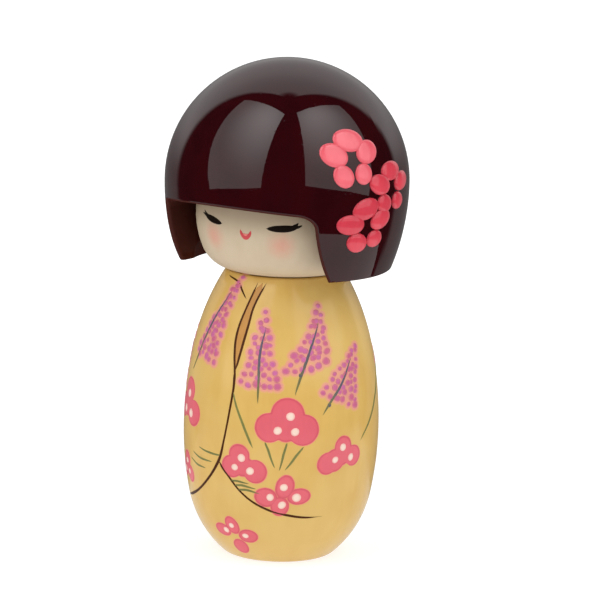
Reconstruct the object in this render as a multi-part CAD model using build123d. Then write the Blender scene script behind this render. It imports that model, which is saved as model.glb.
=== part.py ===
from build123d import *
import os
from math import acos, asin, cos, degrees, radians, sin, sqrt

# Kokeshi doll: a turned wooden kimono body, and a ball head that plugs into it by
# a peg and wears a hollowed bob of hair with three raised blossoms on its left side.
# Millimetres. The origin is the centre of the flat base, +Z is up, the face looks
# towards -Y, and +X is the doll's own left.

# ---- kimono body -------------------------------------------------------------
body_height = 81.0          # base to the flat shoulder that the head rests over
belly_height = 36.0         # where the body is widest
belly_radius = 27.5
upper_side_radius = 112.0   # the long curve above the belly
upper_side_rise = 24.0      # how far above the belly the shoulder curve takes over
shoulder_radius = 16.4      # before its edge is rounded
shoulder_edge_radius = 1.0
lower_side_radius = 95.0    # the long curve below the belly
lower_side_drop = 19.0      # how far below the belly the foot curve takes over
foot_radius = 15.5          # before its edge is rounded
foot_edge_radius = 2.5

# ---- neck joint --------------------------------------------------------------
neck_gap = 0.15             # daylight between the shoulder and the chin
neck_peg_radius = 4.0
neck_peg_in_body = 14.0
neck_peg_in_head = 12.0
neck_turn_clearance = 0.06  # radial, between the peg and the bore it turns in
neck_bore_end_gap = 1.0
peg_chamfer = 0.5
bore_chamfer = 0.5

# ---- head --------------------------------------------------------------------
head_radius = 25.2
jaw_radius = 9.3            # the tighter curve under the cheeks
jaw_start = 24.0            # degrees below the widest ring of the ball
head_land_radius = 8.0      # flat on the crown that the hair is glued to

# ---- hair --------------------------------------------------------------------
hair_side_thickness = 8.9   # head surface to hair surface at the widest ring
crown_thickness = 19.2      # land of the head to the top of the hair
hair_fit_gap = 0.3          # radial, all round the ball
rim_ease = 1.2              # the cavity opens this much wider at the rim
rim_wall = 3.2              # thickness of the wood at the rim
rim_lift = 1.0              # rim above the shoulder of the body
rim_edge_radius = 0.8
window_lip = 0.7            # the face window is this much narrower than the ball
fringe_height = 5.4         # lowest line of the fringe above the centre of the ball
fringe_arch_radius = 165.0
window_corner_radius = 3.3
hair_peg_radius = 3.0
hair_peg_in_head = 8.0
hair_peg_in_hair = 8.0

# ---- blossoms ----------------------------------------------------------------
petals_per_blossom = 5
petal_radius = 3.9
petal_height = 0.95         # how far a petal stands proud of the hair
petal_ring_radius = 5.4     # centre of the blossom to the centre of a petal
petal_gap = 0.03            # seam between two petals
spray_azimuth = 78.5        # middle of the spray, in degrees from the face to the left
# Each blossom's distance along the hair from the middle of the spray, its distance
# up the hair from the widest ring, and the direction of its first petal in degrees.
blossoms = {
    "upper": (-6.5, 10.2, 92.0),
    "side": (8.0, 1.9, 90.0),
    "lower": (-1.6, -8.6, 96.0),
}

# ---- heights that stack up from the body -------------------------------------
chin_z = body_height + neck_gap
head_z = chin_z + jaw_radius + (head_radius - jaw_radius) * sin(radians(jaw_start))
land_z = head_z + sqrt(head_radius**2 - head_land_radius**2)
hair_radius = head_radius + hair_side_thickness
hair_top_z = land_z + crown_thickness
hair_z = hair_top_z - hair_radius
rim_z = body_height + rim_lift
cavity_radius = head_radius + hair_fit_gap
rim_inner_radius = head_radius + rim_ease
rim_outer_radius = rim_inner_radius + rim_wall

# The skirt of the bob is an arc that leaves the dome at its widest ring and reaches
# the rim, which gives its radius.
skirt_narrowing = hair_radius - rim_outer_radius
skirt_drop = hair_z - rim_z
skirt_radius = (skirt_drop**2 + skirt_narrowing**2) / (2 * skirt_narrowing)


def turned(*lines):
    """Spin a closed outline, drawn as radius and height, about the Z axis."""
    outline = make_face(Plane.XZ * (Curve() + [*lines]))
    return revolve(outline, Axis.Z)


def dowel(radius, bottom, top):
    """A round peg with chamfered ends, standing on the Z axis."""
    rod = Pos(0, 0, bottom) * extrude(Circle(radius), top - bottom)
    return chamfer(rod.edges().filter_by(GeomType.CIRCLE), peg_chamfer)


def bore(radius, bottom, top):
    """The cutter of a round hole on the Z axis."""
    return Pos(0, 0, bottom) * extrude(Circle(radius), top - bottom)


def make_kimono_body():
    """Egg-shaped body with a blind bore in its shoulder for the neck peg."""
    upper_centre = (belly_radius - upper_side_radius, belly_height)
    upper_angle = degrees(asin(upper_side_rise / upper_side_radius))
    upper_side = CenterArc(upper_centre, upper_side_radius, 0, upper_angle)
    shoulder = TangentArc(upper_side @ 1, (shoulder_radius, body_height), tangent=upper_side % 1)
    lower_centre = (belly_radius - lower_side_radius, belly_height)
    lower_angle = degrees(asin(lower_side_drop / lower_side_radius))
    lower_side = CenterArc(lower_centre, lower_side_radius, 0, -lower_angle)
    foot = TangentArc(lower_side @ 1, (foot_radius, 0), tangent=lower_side % 1)
    body = turned(
        Line((0, 0), (foot_radius, 0)),
        foot,
        lower_side,
        upper_side,
        shoulder,
        Line((shoulder_radius, body_height), (0, body_height)),
        Line((0, body_height), (0, 0)),
    )
    body = fillet(body.edges().group_by(Axis.Z)[0], foot_edge_radius)
    body = fillet(body.edges().group_by(Axis.Z)[-1], shoulder_edge_radius)

    bore_bottom = body_height - neck_peg_in_body - neck_bore_end_gap
    body -= bore(neck_peg_radius + neck_turn_clearance, bore_bottom, body_height)
    mouth = body.edges().group_by(Axis.Z)[-1].sort_by(SortBy.LENGTH)[0]
    return chamfer(mouth, bore_chamfer)


def make_neck_peg():
    """Dowel that is fixed in the head and turns in the body."""
    return dowel(neck_peg_radius, body_height - neck_peg_in_body, chin_z + neck_peg_in_head)


def make_head():
    """Ball with a tighter jaw, a flat chin and a flat crown, bored for both pegs."""
    jaw_reach = head_radius - jaw_radius
    jaw_x = jaw_reach * cos(radians(jaw_start))
    jaw_z = head_z - jaw_reach * sin(radians(jaw_start))
    land_angle = degrees(acos(head_land_radius / head_radius))
    head = turned(
        Line((0, chin_z), (jaw_x, chin_z)),
        CenterArc((jaw_x, jaw_z), jaw_radius, -90, 90 - jaw_start),
        CenterArc((0, head_z), head_radius, -jaw_start, jaw_start + land_angle),
        Line((head_land_radius, land_z), (0, land_z)),
        Line((0, land_z), (0, chin_z)),
    )
    head -= bore(neck_peg_radius, chin_z, chin_z + neck_peg_in_head)
    return head - bore(hair_peg_radius, land_z - hair_peg_in_head, land_z)


def make_hair_peg():
    """Dowel between the crown of the head and the hair."""
    return dowel(hair_peg_radius, land_z - hair_peg_in_head, land_z + hair_peg_in_hair)


def make_hair_outside():
    """The bob before it is hollowed: a dome over a skirt that draws in to the rim."""
    rim_angle = degrees(asin(skirt_drop / skirt_radius))
    return turned(
        Line((0, rim_z), (rim_outer_radius, rim_z)),
        CenterArc((hair_radius - skirt_radius, hair_z), skirt_radius, -rim_angle, rim_angle),
        CenterArc((0, hair_z), hair_radius, 0, 90),
        Line((0, hair_top_z), (0, rim_z)),
    )


def make_hair_cavity():
    """The room for the head, with a flat roof on the land and an easier mouth."""
    roof_angle = asin((land_z - head_z) / cavity_radius)
    roof_radius = cavity_radius * cos(roof_angle)
    return turned(
        Line((0, rim_z), (rim_inner_radius, rim_z)),
        Line((rim_inner_radius, rim_z), (cavity_radius, head_z)),
        CenterArc((0, head_z), cavity_radius, 0, degrees(roof_angle)),
        Line((roof_radius, land_z), (0, land_z)),
        Line((0, land_z), (0, rim_z)),
    )


def make_window_cutter():
    """The slot in front of the face: upright walls under a gently arched fringe."""
    half_width = head_radius - window_lip
    top = head_z + fringe_height
    below = rim_z - rim_lift
    arch = Pos(0, top - fringe_arch_radius) * Circle(fringe_arch_radius)
    blank = Pos(0, (top + below) / 2) * Rectangle(2 * half_width, top - below)
    slot = blank & arch
    corners = slot.vertices().group_by(Axis.Y)[-1]
    slot = fillet(corners, window_corner_radius)
    return extrude(Plane.XZ * slot, hair_radius + rim_lift)


def make_hair(outside):
    """Hollowed bob with the face window, softened along every cut edge."""
    hair = outside - make_hair_cavity() - make_window_cutter()
    hair -= bore(hair_peg_radius, land_z, land_z + hair_peg_in_hair)
    return fillet(cut_edges(hair), rim_edge_radius)


def cut_edges(hair):
    """The edges where the window and the rim meet the outside of the hair."""
    outer = [edge for face in hair.faces() if is_outside(face) for edge in face.edges()]
    inner = [edge for face in hair.faces() if not is_outside(face) for edge in face.edges()]
    return ShapeList(edge for edge in outer if edge in inner)


def is_outside(face):
    """Whether a face belongs to the dome or the skirt of the hair."""
    spot = face.center(CenterOf.GEOMETRY)
    return hair_distance(spot) > -hair_side_thickness / 4


def hair_distance(spot):
    """How far a point stands outside the surface of the hair, negative inside it."""
    radius = sqrt(spot.X**2 + spot.Y**2)
    if spot.Z >= hair_z:
        return sqrt(radius**2 + (spot.Z - hair_z) ** 2) - hair_radius
    inset = hair_radius - skirt_radius
    return sqrt((radius - inset) ** 2 + (spot.Z - hair_z) ** 2) - skirt_radius


def hair_plane(azimuth, climb):
    """Plane on the hair's surface, climb up it from its widest ring, facing outwards."""
    bend = hair_radius if climb >= 0 else skirt_radius
    tilt = climb / bend
    radius = hair_radius - bend + bend * cos(tilt)
    height = hair_z + bend * sin(tilt)
    facing = radians(azimuth)
    spot = (radius * sin(facing), -radius * cos(facing), height)
    outward = (cos(tilt) * sin(facing), -cos(tilt) * cos(facing), sin(tilt))
    level = (cos(facing), sin(facing), 0)
    return Plane(origin=spot, x_dir=level, z_dir=outward)


def make_petal(azimuth, climb, angle, outside):
    """One domed petal, its back cut to the hair and its sides to its neighbours."""
    middle = hair_plane(azimuth, climb)
    ring_radius = sqrt(middle.origin.X**2 + middle.origin.Y**2)
    across = petal_ring_radius * cos(radians(angle))
    along = petal_ring_radius * sin(radians(angle))
    seat = hair_plane(azimuth + degrees(across / ring_radius), climb + along)

    sink = petal_radius**2 / (2 * hair_radius)
    cap_height = petal_height + sink
    ball_radius = (petal_radius**2 + cap_height**2) / (2 * cap_height)
    dome = seat * Pos(0, 0, petal_height - ball_radius) * Sphere(ball_radius)

    share = radians(360 / petals_per_blossom) / 2
    reach = petal_ring_radius + 2 * petal_radius
    inner = petal_gap / 2 / sin(share)
    wedge = Polygon(
        (inner, 0),
        (reach, -(reach - inner) * sin(share) / cos(share)),
        (reach, (reach - inner) * sin(share) / cos(share)),
        align=None,
    )
    sector = middle * Rot(0, 0, angle) * extrude(wedge, petal_radius, both=True)
    return (dome & sector) - outside


def make_petals(outside):
    """Every petal of every blossom; a later blossom is laid round the earlier ones."""
    petals = {}
    for name, (across, climb, first_angle) in blossoms.items():
        azimuth = spray_azimuth + degrees(across / hair_radius)
        laid = list(petals.values())
        for index in range(petals_per_blossom):
            angle = first_angle + index * 360 / petals_per_blossom
            petal = make_petal(azimuth, climb, angle, outside)
            for other in laid:
                petal -= other
            petals[f"{name}_blossom_petal_{index + 1}"] = petal
    return petals


def main():
    """Build every piece and write each one to its own file."""
    outside = make_hair_outside()
    pieces = {
        "kimono_body": make_kimono_body(),
        "neck_peg": make_neck_peg(),
        "head": make_head(),
        "hair_peg": make_hair_peg(),
        "hair": make_hair(outside),
        **make_petals(outside),
    }
    os.makedirs("parts", exist_ok=True)
    for name, piece in pieces.items():
        export_step(piece, f"parts/{name}.step")
        print(name, round(piece.volume, 1))


main()
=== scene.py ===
"""A painted and lacquered kokeshi doll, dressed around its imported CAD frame."""
import logging
import math
import random
from dataclasses import dataclass, field
from enum import Enum
from typing import Any, Callable, Sequence

import bmesh
import bpy
from mathutils import Matrix, Vector
from mathutils.bvhtree import BVHTree


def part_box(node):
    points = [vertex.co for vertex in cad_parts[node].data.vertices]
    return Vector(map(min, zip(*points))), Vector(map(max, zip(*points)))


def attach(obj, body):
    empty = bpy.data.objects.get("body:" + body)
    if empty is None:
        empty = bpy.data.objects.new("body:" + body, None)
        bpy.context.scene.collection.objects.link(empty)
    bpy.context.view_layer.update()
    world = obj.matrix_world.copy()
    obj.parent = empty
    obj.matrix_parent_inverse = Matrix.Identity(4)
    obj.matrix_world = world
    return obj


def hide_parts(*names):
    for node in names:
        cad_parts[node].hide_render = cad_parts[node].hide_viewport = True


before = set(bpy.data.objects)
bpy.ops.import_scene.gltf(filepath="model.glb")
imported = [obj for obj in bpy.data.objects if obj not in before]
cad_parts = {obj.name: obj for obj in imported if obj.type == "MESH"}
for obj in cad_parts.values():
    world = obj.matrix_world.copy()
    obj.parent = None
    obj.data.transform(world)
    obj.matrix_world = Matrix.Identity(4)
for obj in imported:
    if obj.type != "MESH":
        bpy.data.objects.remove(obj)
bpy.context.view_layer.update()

MM = 0.001
Colour = tuple[float, float, float, float]
Spot = tuple[float, float]

log = logging.getLogger("kokeshi")


class Body(Enum):
    """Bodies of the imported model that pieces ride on."""

    TORSO = "torso"
    HEAD = "head"


class Slot(Enum):
    """Material slots of the record that new pieces take their finish from."""

    PETAL = "petal_enamel"
    PINK = "motif_pink"
    WHITE = "motif_white"
    WISTERIA = "wisteria_paint"
    LEAF = "leaf_green"
    INK = "ink_line"
    OCHRE = "collar_ochre"
    LIP = "lip_red"


def paint(red: int, green: int, blue: int) -> Colour:
    """Turn a screen colour of 0 to 255 into the linear colour that shaders take.

    Args:
        red: its red, from 0 to 255.
        green: its green, from 0 to 255.
        blue: its blue, from 0 to 255.

    Returns:
        The linear colour with full alpha.
    """
    parts = [value / 255 for value in (red, green, blue)]
    linear = [v / 12.92 if v <= 0.04045 else ((v + 0.055) / 1.055) ** 2.4 for v in parts]
    return (linear[0], linear[1], linear[2], 1.0)


def between(low: float, high: float, share: float) -> float:
    """Return the value that lies at a share of the way from low to high."""
    return low + (high - low) * share


# ---- node layouts ---------------------------------------------------------------------


class NodeBench:
    """Lays out the nodes of one material or node group."""

    def __init__(self, tree: bpy.types.NodeTree) -> None:
        """Start from an empty tree.

        Args:
            tree: the node tree that is filled.
        """
        self.tree = tree
        tree.nodes.clear()

    def add(self, kind: str, **settings: Any) -> bpy.types.Node:
        """Add a node of a kind and set its own properties.

        Args:
            kind: the node's type.
            settings: the node's own properties by name.

        Returns:
            The new node.
        """
        node = self.tree.nodes.new(kind)
        for name, value in settings.items():
            setattr(node, name, value)
        return node

    def feed(self, socket: bpy.types.NodeSocket, value: Any) -> None:
        """Link a socket into an input, or set the input to a plain value.

        Args:
            socket: the input.
            value: a socket, a plain value, or None to leave the input as it is.
        """
        if isinstance(value, bpy.types.NodeSocket):
            self.tree.links.new(value, socket)
        elif value is not None:
            socket.default_value = value

    def math(self, operation: str, first: Any, second: Any = None, third: Any = None,
             clamp: bool = False) -> bpy.types.NodeSocket:
        """Add a Math node.

        Args:
            operation: the node's operation.
            first: the first value or socket.
            second: the second value or socket, if the operation takes one.
            third: the third value or socket, if the operation takes one.
            clamp: whether the result is held between 0 and 1.

        Returns:
            The node's result.
        """
        node = self.add("ShaderNodeMath", operation=operation, use_clamp=clamp)
        for socket, value in zip(node.inputs, (first, second, third)):
            self.feed(socket, value)
        return node.outputs[0]

    def ease(self, value: Any, low: float, high: float, start: float = 0.0,
             end: float = 1.0) -> bpy.types.NodeSocket:
        """Turn a value between low and high smoothly into one between start and end.

        Args:
            value: the value or socket.
            low: the value at which the result is start.
            high: the value at which the result is end.
            start: the result at low.
            end: the result at high.

        Returns:
            The eased value.
        """
        node = self.add("ShaderNodeMapRange", interpolation_type="SMOOTHSTEP")
        for socket, item in zip(node.inputs, (value, low, high, start, end)):
            self.feed(socket, item)
        return node.outputs[0]

    def blend(self, share: Any, first: Any, second: Any,
              mode: str = "MIX") -> bpy.types.NodeSocket:
        """Mix two colours.

        Args:
            share: how much of the second colour shows, from 0 to 1.
            first: the colour below.
            second: the colour on top.
            mode: the mix node's blend type.

        Returns:
            The mixed colour.
        """
        node = self.add("ShaderNodeMix", data_type="RGBA", blend_type=mode)
        self.feed(node.inputs[0], share)
        self.feed(node.inputs[6], first)
        self.feed(node.inputs[7], second)
        return node.outputs[2]

    def noise(self, place: Any, scale: float, detail: float = 2.0, rough: float = 0.5,
              twist: float = 0.0) -> bpy.types.NodeSocket:
        """Add a noise texture and return its value.

        Args:
            place: the coordinates.
            scale: the pattern's fineness.
            detail: how many finer layers it has.
            rough: how strong the finer layers are.
            twist: how far it is distorted.

        Returns:
            The noise value.
        """
        node = self.add("ShaderNodeTexNoise")
        for name, value in (("Vector", place), ("Scale", scale), ("Detail", detail),
                            ("Roughness", rough), ("Distortion", twist)):
            self.feed(node.inputs[name], value)
        return node.outputs[0]

    def stretch(self, place: Any, scale: Sequence[float],
                shift: Sequence[float] = (0, 0, 0)) -> bpy.types.NodeSocket:
        """Scale and shift the coordinates of a pattern.

        Args:
            place: the coordinates.
            scale: the scale on each axis.
            shift: the shift on each axis.

        Returns:
            The new coordinates.
        """
        node = self.add("ShaderNodeMapping")
        self.feed(node.inputs["Vector"], place)
        node.inputs["Scale"].default_value = scale
        node.inputs["Location"].default_value = shift
        return node.outputs[0]

    def object_normal(self) -> bpy.types.NodeSocket:
        """Return the surface's normal in the piece's own axes."""
        return self.add("ShaderNodeTexCoord").outputs["Normal"]

    def object_place(self) -> bpy.types.NodeSocket:
        """Return the piece's own Object coordinates."""
        return self.add("ShaderNodeTexCoord").outputs["Object"]

    def split(self, place: Any) -> tuple[bpy.types.NodeSocket, ...]:
        """Split coordinates into X, Y and Z.

        Args:
            place: the coordinates.

        Returns:
            The three values.
        """
        node = self.add("ShaderNodeSeparateXYZ")
        self.feed(node.inputs[0], place)
        return tuple(node.outputs)

    def attribute(self, name: str) -> bpy.types.NodeSocket:
        """Return the value of a piece's own attribute."""
        return self.add("ShaderNodeAttribute", attribute_name=name).outputs["Fac"]

    def from_axis(self, x: Any, y: Any) -> bpy.types.NodeSocket:
        """Return how far each point lies from the upright axis."""
        return self.math("SQRT", self.math("MULTIPLY_ADD", x, x, self.math("MULTIPLY", y, y)))

    def distance(self, place: Any, centre: Sequence[float]) -> bpy.types.NodeSocket:
        """Return the distance of each surface point from a fixed point.

        Args:
            place: the coordinates.
            centre: the fixed point.

        Returns:
            The distance.
        """
        node = self.add("ShaderNodeVectorMath", operation="DISTANCE")
        self.feed(node.inputs[0], place)
        node.inputs[1].default_value = centre
        return node.outputs["Value"]

    def effect(self, group: bpy.types.NodeTree, **values: Any) -> bpy.types.Node:
        """Place a shared effect and set its inputs, with _ for a space in a name.

        Args:
            group: the effect's node group.
            values: a value or socket for each named input.

        Returns:
            The placed group node.
        """
        node = self.add("ShaderNodeGroup", node_tree=group)
        for name, value in values.items():
            self.feed(node.inputs[name.replace("_", " ")], value)
        return node


class EffectBench(NodeBench):
    """Lays out one shared effect as a node group with named inputs and outputs."""

    def __init__(self, name: str, inputs: dict[str, float], outputs: Sequence[str]) -> None:
        """Make the group and its sockets.

        Args:
            name: the group's name.
            inputs: each value input with its default; Place comes first by itself.
            outputs: the names of the values it gives.
        """
        tree = bpy.data.node_groups.new(name, "ShaderNodeTree")
        super().__init__(tree)
        tree.interface.new_socket("Place", in_out="INPUT", socket_type="NodeSocketVector")
        for label, default in inputs.items():
            socket = tree.interface.new_socket(label, in_out="INPUT",
                                               socket_type="NodeSocketFloat")
            socket.default_value = default
        for label in outputs:
            tree.interface.new_socket(label, in_out="OUTPUT", socket_type="NodeSocketFloat")
        self.inside = self.add("NodeGroupInput")
        self.outside = self.add("NodeGroupOutput")

    def value(self, name: str) -> bpy.types.NodeSocket:
        """Return a group input."""
        return self.inside.outputs[name]

    def give(self, name: str, value: Any) -> None:
        """Link a result to a group output."""
        self.feed(self.outside.inputs[name], value)


class Effects:
    """Effects that more than one finish uses, each built once."""

    def __init__(self) -> None:
        """Build all the shared effects."""
        self.turning = self._turning()
        self.varnish = self._varnish()
        self.brushing = self._brushing()
        self.wear = self._wear()
        self.end_grain = self._end_grain()

    @staticmethod
    def _turning() -> bpy.types.NodeTree:
        """Rings that a lathe tool leaves round the axis.

        Returns:
            The node group.
        """
        bench = EffectBench("Lathe turning", {"Rings": 900.0}, ["Height", "Band"])
        place = bench.value("Place")
        across = bench.stretch(place, (0.03, 0.03, 1.0))
        fine = bench.add("ShaderNodeTexNoise")
        bench.feed(fine.inputs["Vector"], across)
        bench.feed(fine.inputs["Scale"], bench.value("Rings"))
        bench.feed(fine.inputs["Detail"], 3.0)
        broad = bench.noise(across, 120.0, 2.0)
        bench.give("Height", bench.math("ADD", bench.math("MULTIPLY", fine.outputs[0], 0.3),
                                        bench.math("MULTIPLY", broad, 0.7)))
        bench.give("Band", bench.ease(broad, 0.35, 0.65))
        return bench.tree

    @staticmethod
    def _varnish() -> bpy.types.NodeTree:
        """Slow waves, fine ripple and dust specks of a poured varnish.

        Returns:
            The node group.
        """
        bench = EffectBench("Varnish skin", {"Ripple": 1.0}, ["Height", "Dullness"])
        place = bench.value("Place")
        wave = bench.noise(place, 45.0, 1.0)
        ripple = bench.noise(place, 320.0, 2.0, 0.45)
        speck = bench.ease(bench.noise(place, 1500.0, 0.0), 0.76, 0.84)
        height = bench.math("MULTIPLY_ADD", ripple, bench.value("Ripple"),
                            bench.math("MULTIPLY", wave, 2.5))
        bench.give("Height", bench.math("MULTIPLY_ADD", speck, 0.25, height))
        bench.give("Dullness", bench.ease(bench.noise(place, 95.0, 5.0, 0.6), 0.42, 0.72))
        return bench.tree

    @staticmethod
    def _brushing() -> bpy.types.NodeTree:
        """Thick and thin paint along the strokes of a soft brush.

        Returns:
            The node group.
        """
        bench = EffectBench("Hand brushing", {"Fineness": 600.0}, ["Density", "Height"])
        place = bench.value("Place")
        drawn = bench.stretch(place, (1.0, 1.0, 0.22))
        hairs = bench.add("ShaderNodeTexNoise")
        bench.feed(hairs.inputs["Vector"], drawn)
        bench.feed(hairs.inputs["Scale"], bench.value("Fineness"))
        bench.feed(hairs.inputs["Detail"], 4.0)
        cloud = bench.noise(place, 130.0, 3.0)
        bench.give("Density", bench.ease(bench.math("ADD", bench.math(
            "MULTIPLY", hairs.outputs[0], 0.55), bench.math("MULTIPLY", cloud, 0.45)),
            0.36, 0.64))
        bench.give("Height", hairs.outputs[0])
        return bench.tree

    @staticmethod
    def _wear() -> bpy.types.NodeTree:
        """Rubbed spots and hairline scratches of handling.

        Returns:
            The node group.
        """
        bench = EffectBench("Handling wear", {"Amount": 0.5}, ["Rubbed", "Scratch"])
        place = bench.value("Place")
        spots = bench.noise(place, 420.0, 6.0, 0.7)
        level = bench.math("SUBTRACT", 0.86, bench.math("MULTIPLY", bench.value("Amount"), 0.4))
        rubbed = bench.math("GREATER_THAN", spots, level)
        bench.give("Rubbed", rubbed)
        slanted = bench.stretch(place, (1.0, 0.35, 0.06))
        hairline = bench.noise(slanted, 1400.0, 1.0, 0.5, 0.8)
        bench.give("Scratch", bench.ease(hairline, 0.71, 0.75))
        return bench.tree

    @staticmethod
    def _end_grain() -> bpy.types.NodeTree:
        """Growth rings and pores of a turned blank, round an off-centre pith.

        Returns:
            The node group.
        """
        bench = EffectBench("Blank end grain", {"Ring pitch": 1.0}, ["Ring", "Pore"])
        place = bench.value("Place")
        bent = bench.stretch(place, (1.0, 1.0, 0.04), (0.004, 0.007, 0.0))
        wobble = bench.math("MULTIPLY", bench.noise(place, 60.0, 3.0), 0.003)
        centre = bench.distance(bent, (0.0, 0.0, 0.0))
        phase = bench.math("MULTIPLY", bench.math("ADD", centre, wobble), 2600.0)
        phase = bench.math("DIVIDE", phase, bench.value("Ring pitch"))
        bench.give("Ring", bench.math("MULTIPLY_ADD", bench.math("SINE", phase), 0.5, 0.5))
        bench.give("Pore", bench.ease(bench.noise(bent, 2600.0, 2.0), 0.6, 0.72))
        return bench.tree


# ---- finishes -------------------------------------------------------------------------


@dataclass(frozen=True)
class Gloss:
    """How a finish shines: the paint's roughness and the clear coat over it.

    The paint's own shine is low under a coat, which carries the reflections.
    """

    roughness: float
    coat: float
    coat_roughness: float
    paint_shine: float = 0.05


class FinishBench(NodeBench):
    """Lays out one material that ends in a Principled shader."""

    def __init__(self, name: str, gloss: Gloss) -> None:
        """Make the material with its shader.

        Args:
            name: the material's name.
            gloss: its shine.
        """
        self.material = bpy.data.materials.new(name)
        self.material.use_nodes = True
        super().__init__(self.material.node_tree)
        output = self.add("ShaderNodeOutputMaterial")
        self.shader = self.add("ShaderNodeBsdfPrincipled")
        self.feed(output.inputs["Surface"], self.shader.outputs[0])
        self.shader.inputs["Roughness"].default_value = gloss.roughness
        self.shader.inputs["Coat Weight"].default_value = gloss.coat
        self.shader.inputs["Coat Roughness"].default_value = gloss.coat_roughness
        self.shader.inputs["Specular IOR Level"].default_value = gloss.paint_shine
        self.place = self.object_place()

    def finish(self, colour: Any, roughness: Any = None, height: Any = None,
               depth: float = 0.0) -> bpy.types.Material:
        """Feed the shader and return the material.

        Args:
            colour: the base colour.
            roughness: a roughness that varies, if any.
            height: the bump height, if any.
            depth: how far a height of one stands, in metres.

        Returns:
            The finished material.
        """
        self.feed(self.shader.inputs["Base Color"], colour)
        self.feed(self.shader.inputs["Roughness"], roughness)
        if height is not None:
            bump = self.add("ShaderNodeBump")
            bump.inputs["Strength"].default_value = 1.0
            bump.inputs["Distance"].default_value = depth
            self.feed(bump.inputs["Height"], height)
            for name in ("Normal", "Coat Normal"):
                self.feed(self.shader.inputs[name], bump.outputs[0])
        return self.material


@dataclass(frozen=True)
class KimonoPaint:
    """Butter-yellow paint over a turned body, with bare wood under the foot."""

    yellow: Colour = paint(225, 185, 102)
    thin_yellow: Colour = paint(216, 171, 88)
    pale_yellow: Colour = paint(228, 195, 122)
    wood: Colour = paint(214, 180, 132)
    dark_wood: Colour = paint(176, 134, 88)
    gloss: Gloss = Gloss(0.42, 0.7, 0.16)
    thin_share: float = 0.55
    pale_share: float = 0.5
    ring_share: float = 0.12
    grain_share: float = 0.55
    pore_share: float = 0.4
    bare_dullness: float = 0.25
    foot_height: float = 0.35 * MM
    scuff_heights: Spot = (3.5 * MM, 0.8 * MM)
    bore_radius: float = 4.6 * MM
    bore_floor: float = 0.05
    relief: float = 0.012 * MM

    def make(self, effects: Effects) -> bpy.types.Material:
        """Build the material from the shared effects.

        Args:
            effects: the shared effects.

        Returns:
            The body's material.
        """
        bench = FinishBench("kimono_paint", self.gloss)
        turning = bench.effect(effects.turning, Place=bench.place)
        varnish = bench.effect(effects.varnish, Place=bench.place)
        brushing = bench.effect(effects.brushing, Place=bench.place, Fineness=260.0)
        wear = bench.effect(effects.wear, Place=bench.place, Amount=0.42)
        grain = bench.effect(effects.end_grain, Place=bench.place)
        thin = bench.math("MULTIPLY", brushing.outputs["Density"], self.thin_share)
        colour = bench.blend(thin, self.yellow, self.thin_yellow)
        cloud = bench.ease(bench.noise(bench.place, 38.0, 2.0), 0.4, 0.68)
        colour = bench.blend(bench.math("MULTIPLY", cloud, self.pale_share), colour,
                             self.pale_yellow)
        rings = bench.math("MULTIPLY", turning.outputs["Band"], self.ring_share)
        colour = bench.blend(rings, colour, self.thin_yellow)
        x, y, z = bench.split(bench.place)
        radius = bench.from_axis(x, y)
        foot = bench.ease(z, self.foot_height, 0.0)
        bore = bench.math("MULTIPLY", bench.math("LESS_THAN", radius, self.bore_radius),
                          bench.math("GREATER_THAN", z, self.bore_floor))
        low = bench.ease(z, *self.scuff_heights)
        scuffs = bench.math("MULTIPLY", wear.outputs["Rubbed"], low)
        bare = bench.math("MAXIMUM", bench.math("MAXIMUM", foot, bore), scuffs)
        timber = self.wood
        for name, share in (("Ring", self.grain_share), ("Pore", self.pore_share)):
            timber = bench.blend(bench.math("MULTIPLY", grain.outputs[name], share), timber,
                                 self.dark_wood)
        colour = bench.blend(bare, colour, timber)
        dull = bench.math("MULTIPLY_ADD", varnish.outputs["Dullness"], 0.1,
                          self.gloss.roughness)
        dull = bench.math("MULTIPLY_ADD", bare, self.bare_dullness, dull)
        coat = bench.math("MULTIPLY", bench.math("SUBTRACT", 1.0, bare), self.gloss.coat)
        bench.feed(bench.shader.inputs["Coat Weight"], coat)
        height = bench.math("MULTIPLY_ADD", turning.outputs["Height"], 0.5,
                            varnish.outputs["Height"])
        return bench.finish(colour, dull, height, self.relief)


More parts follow.
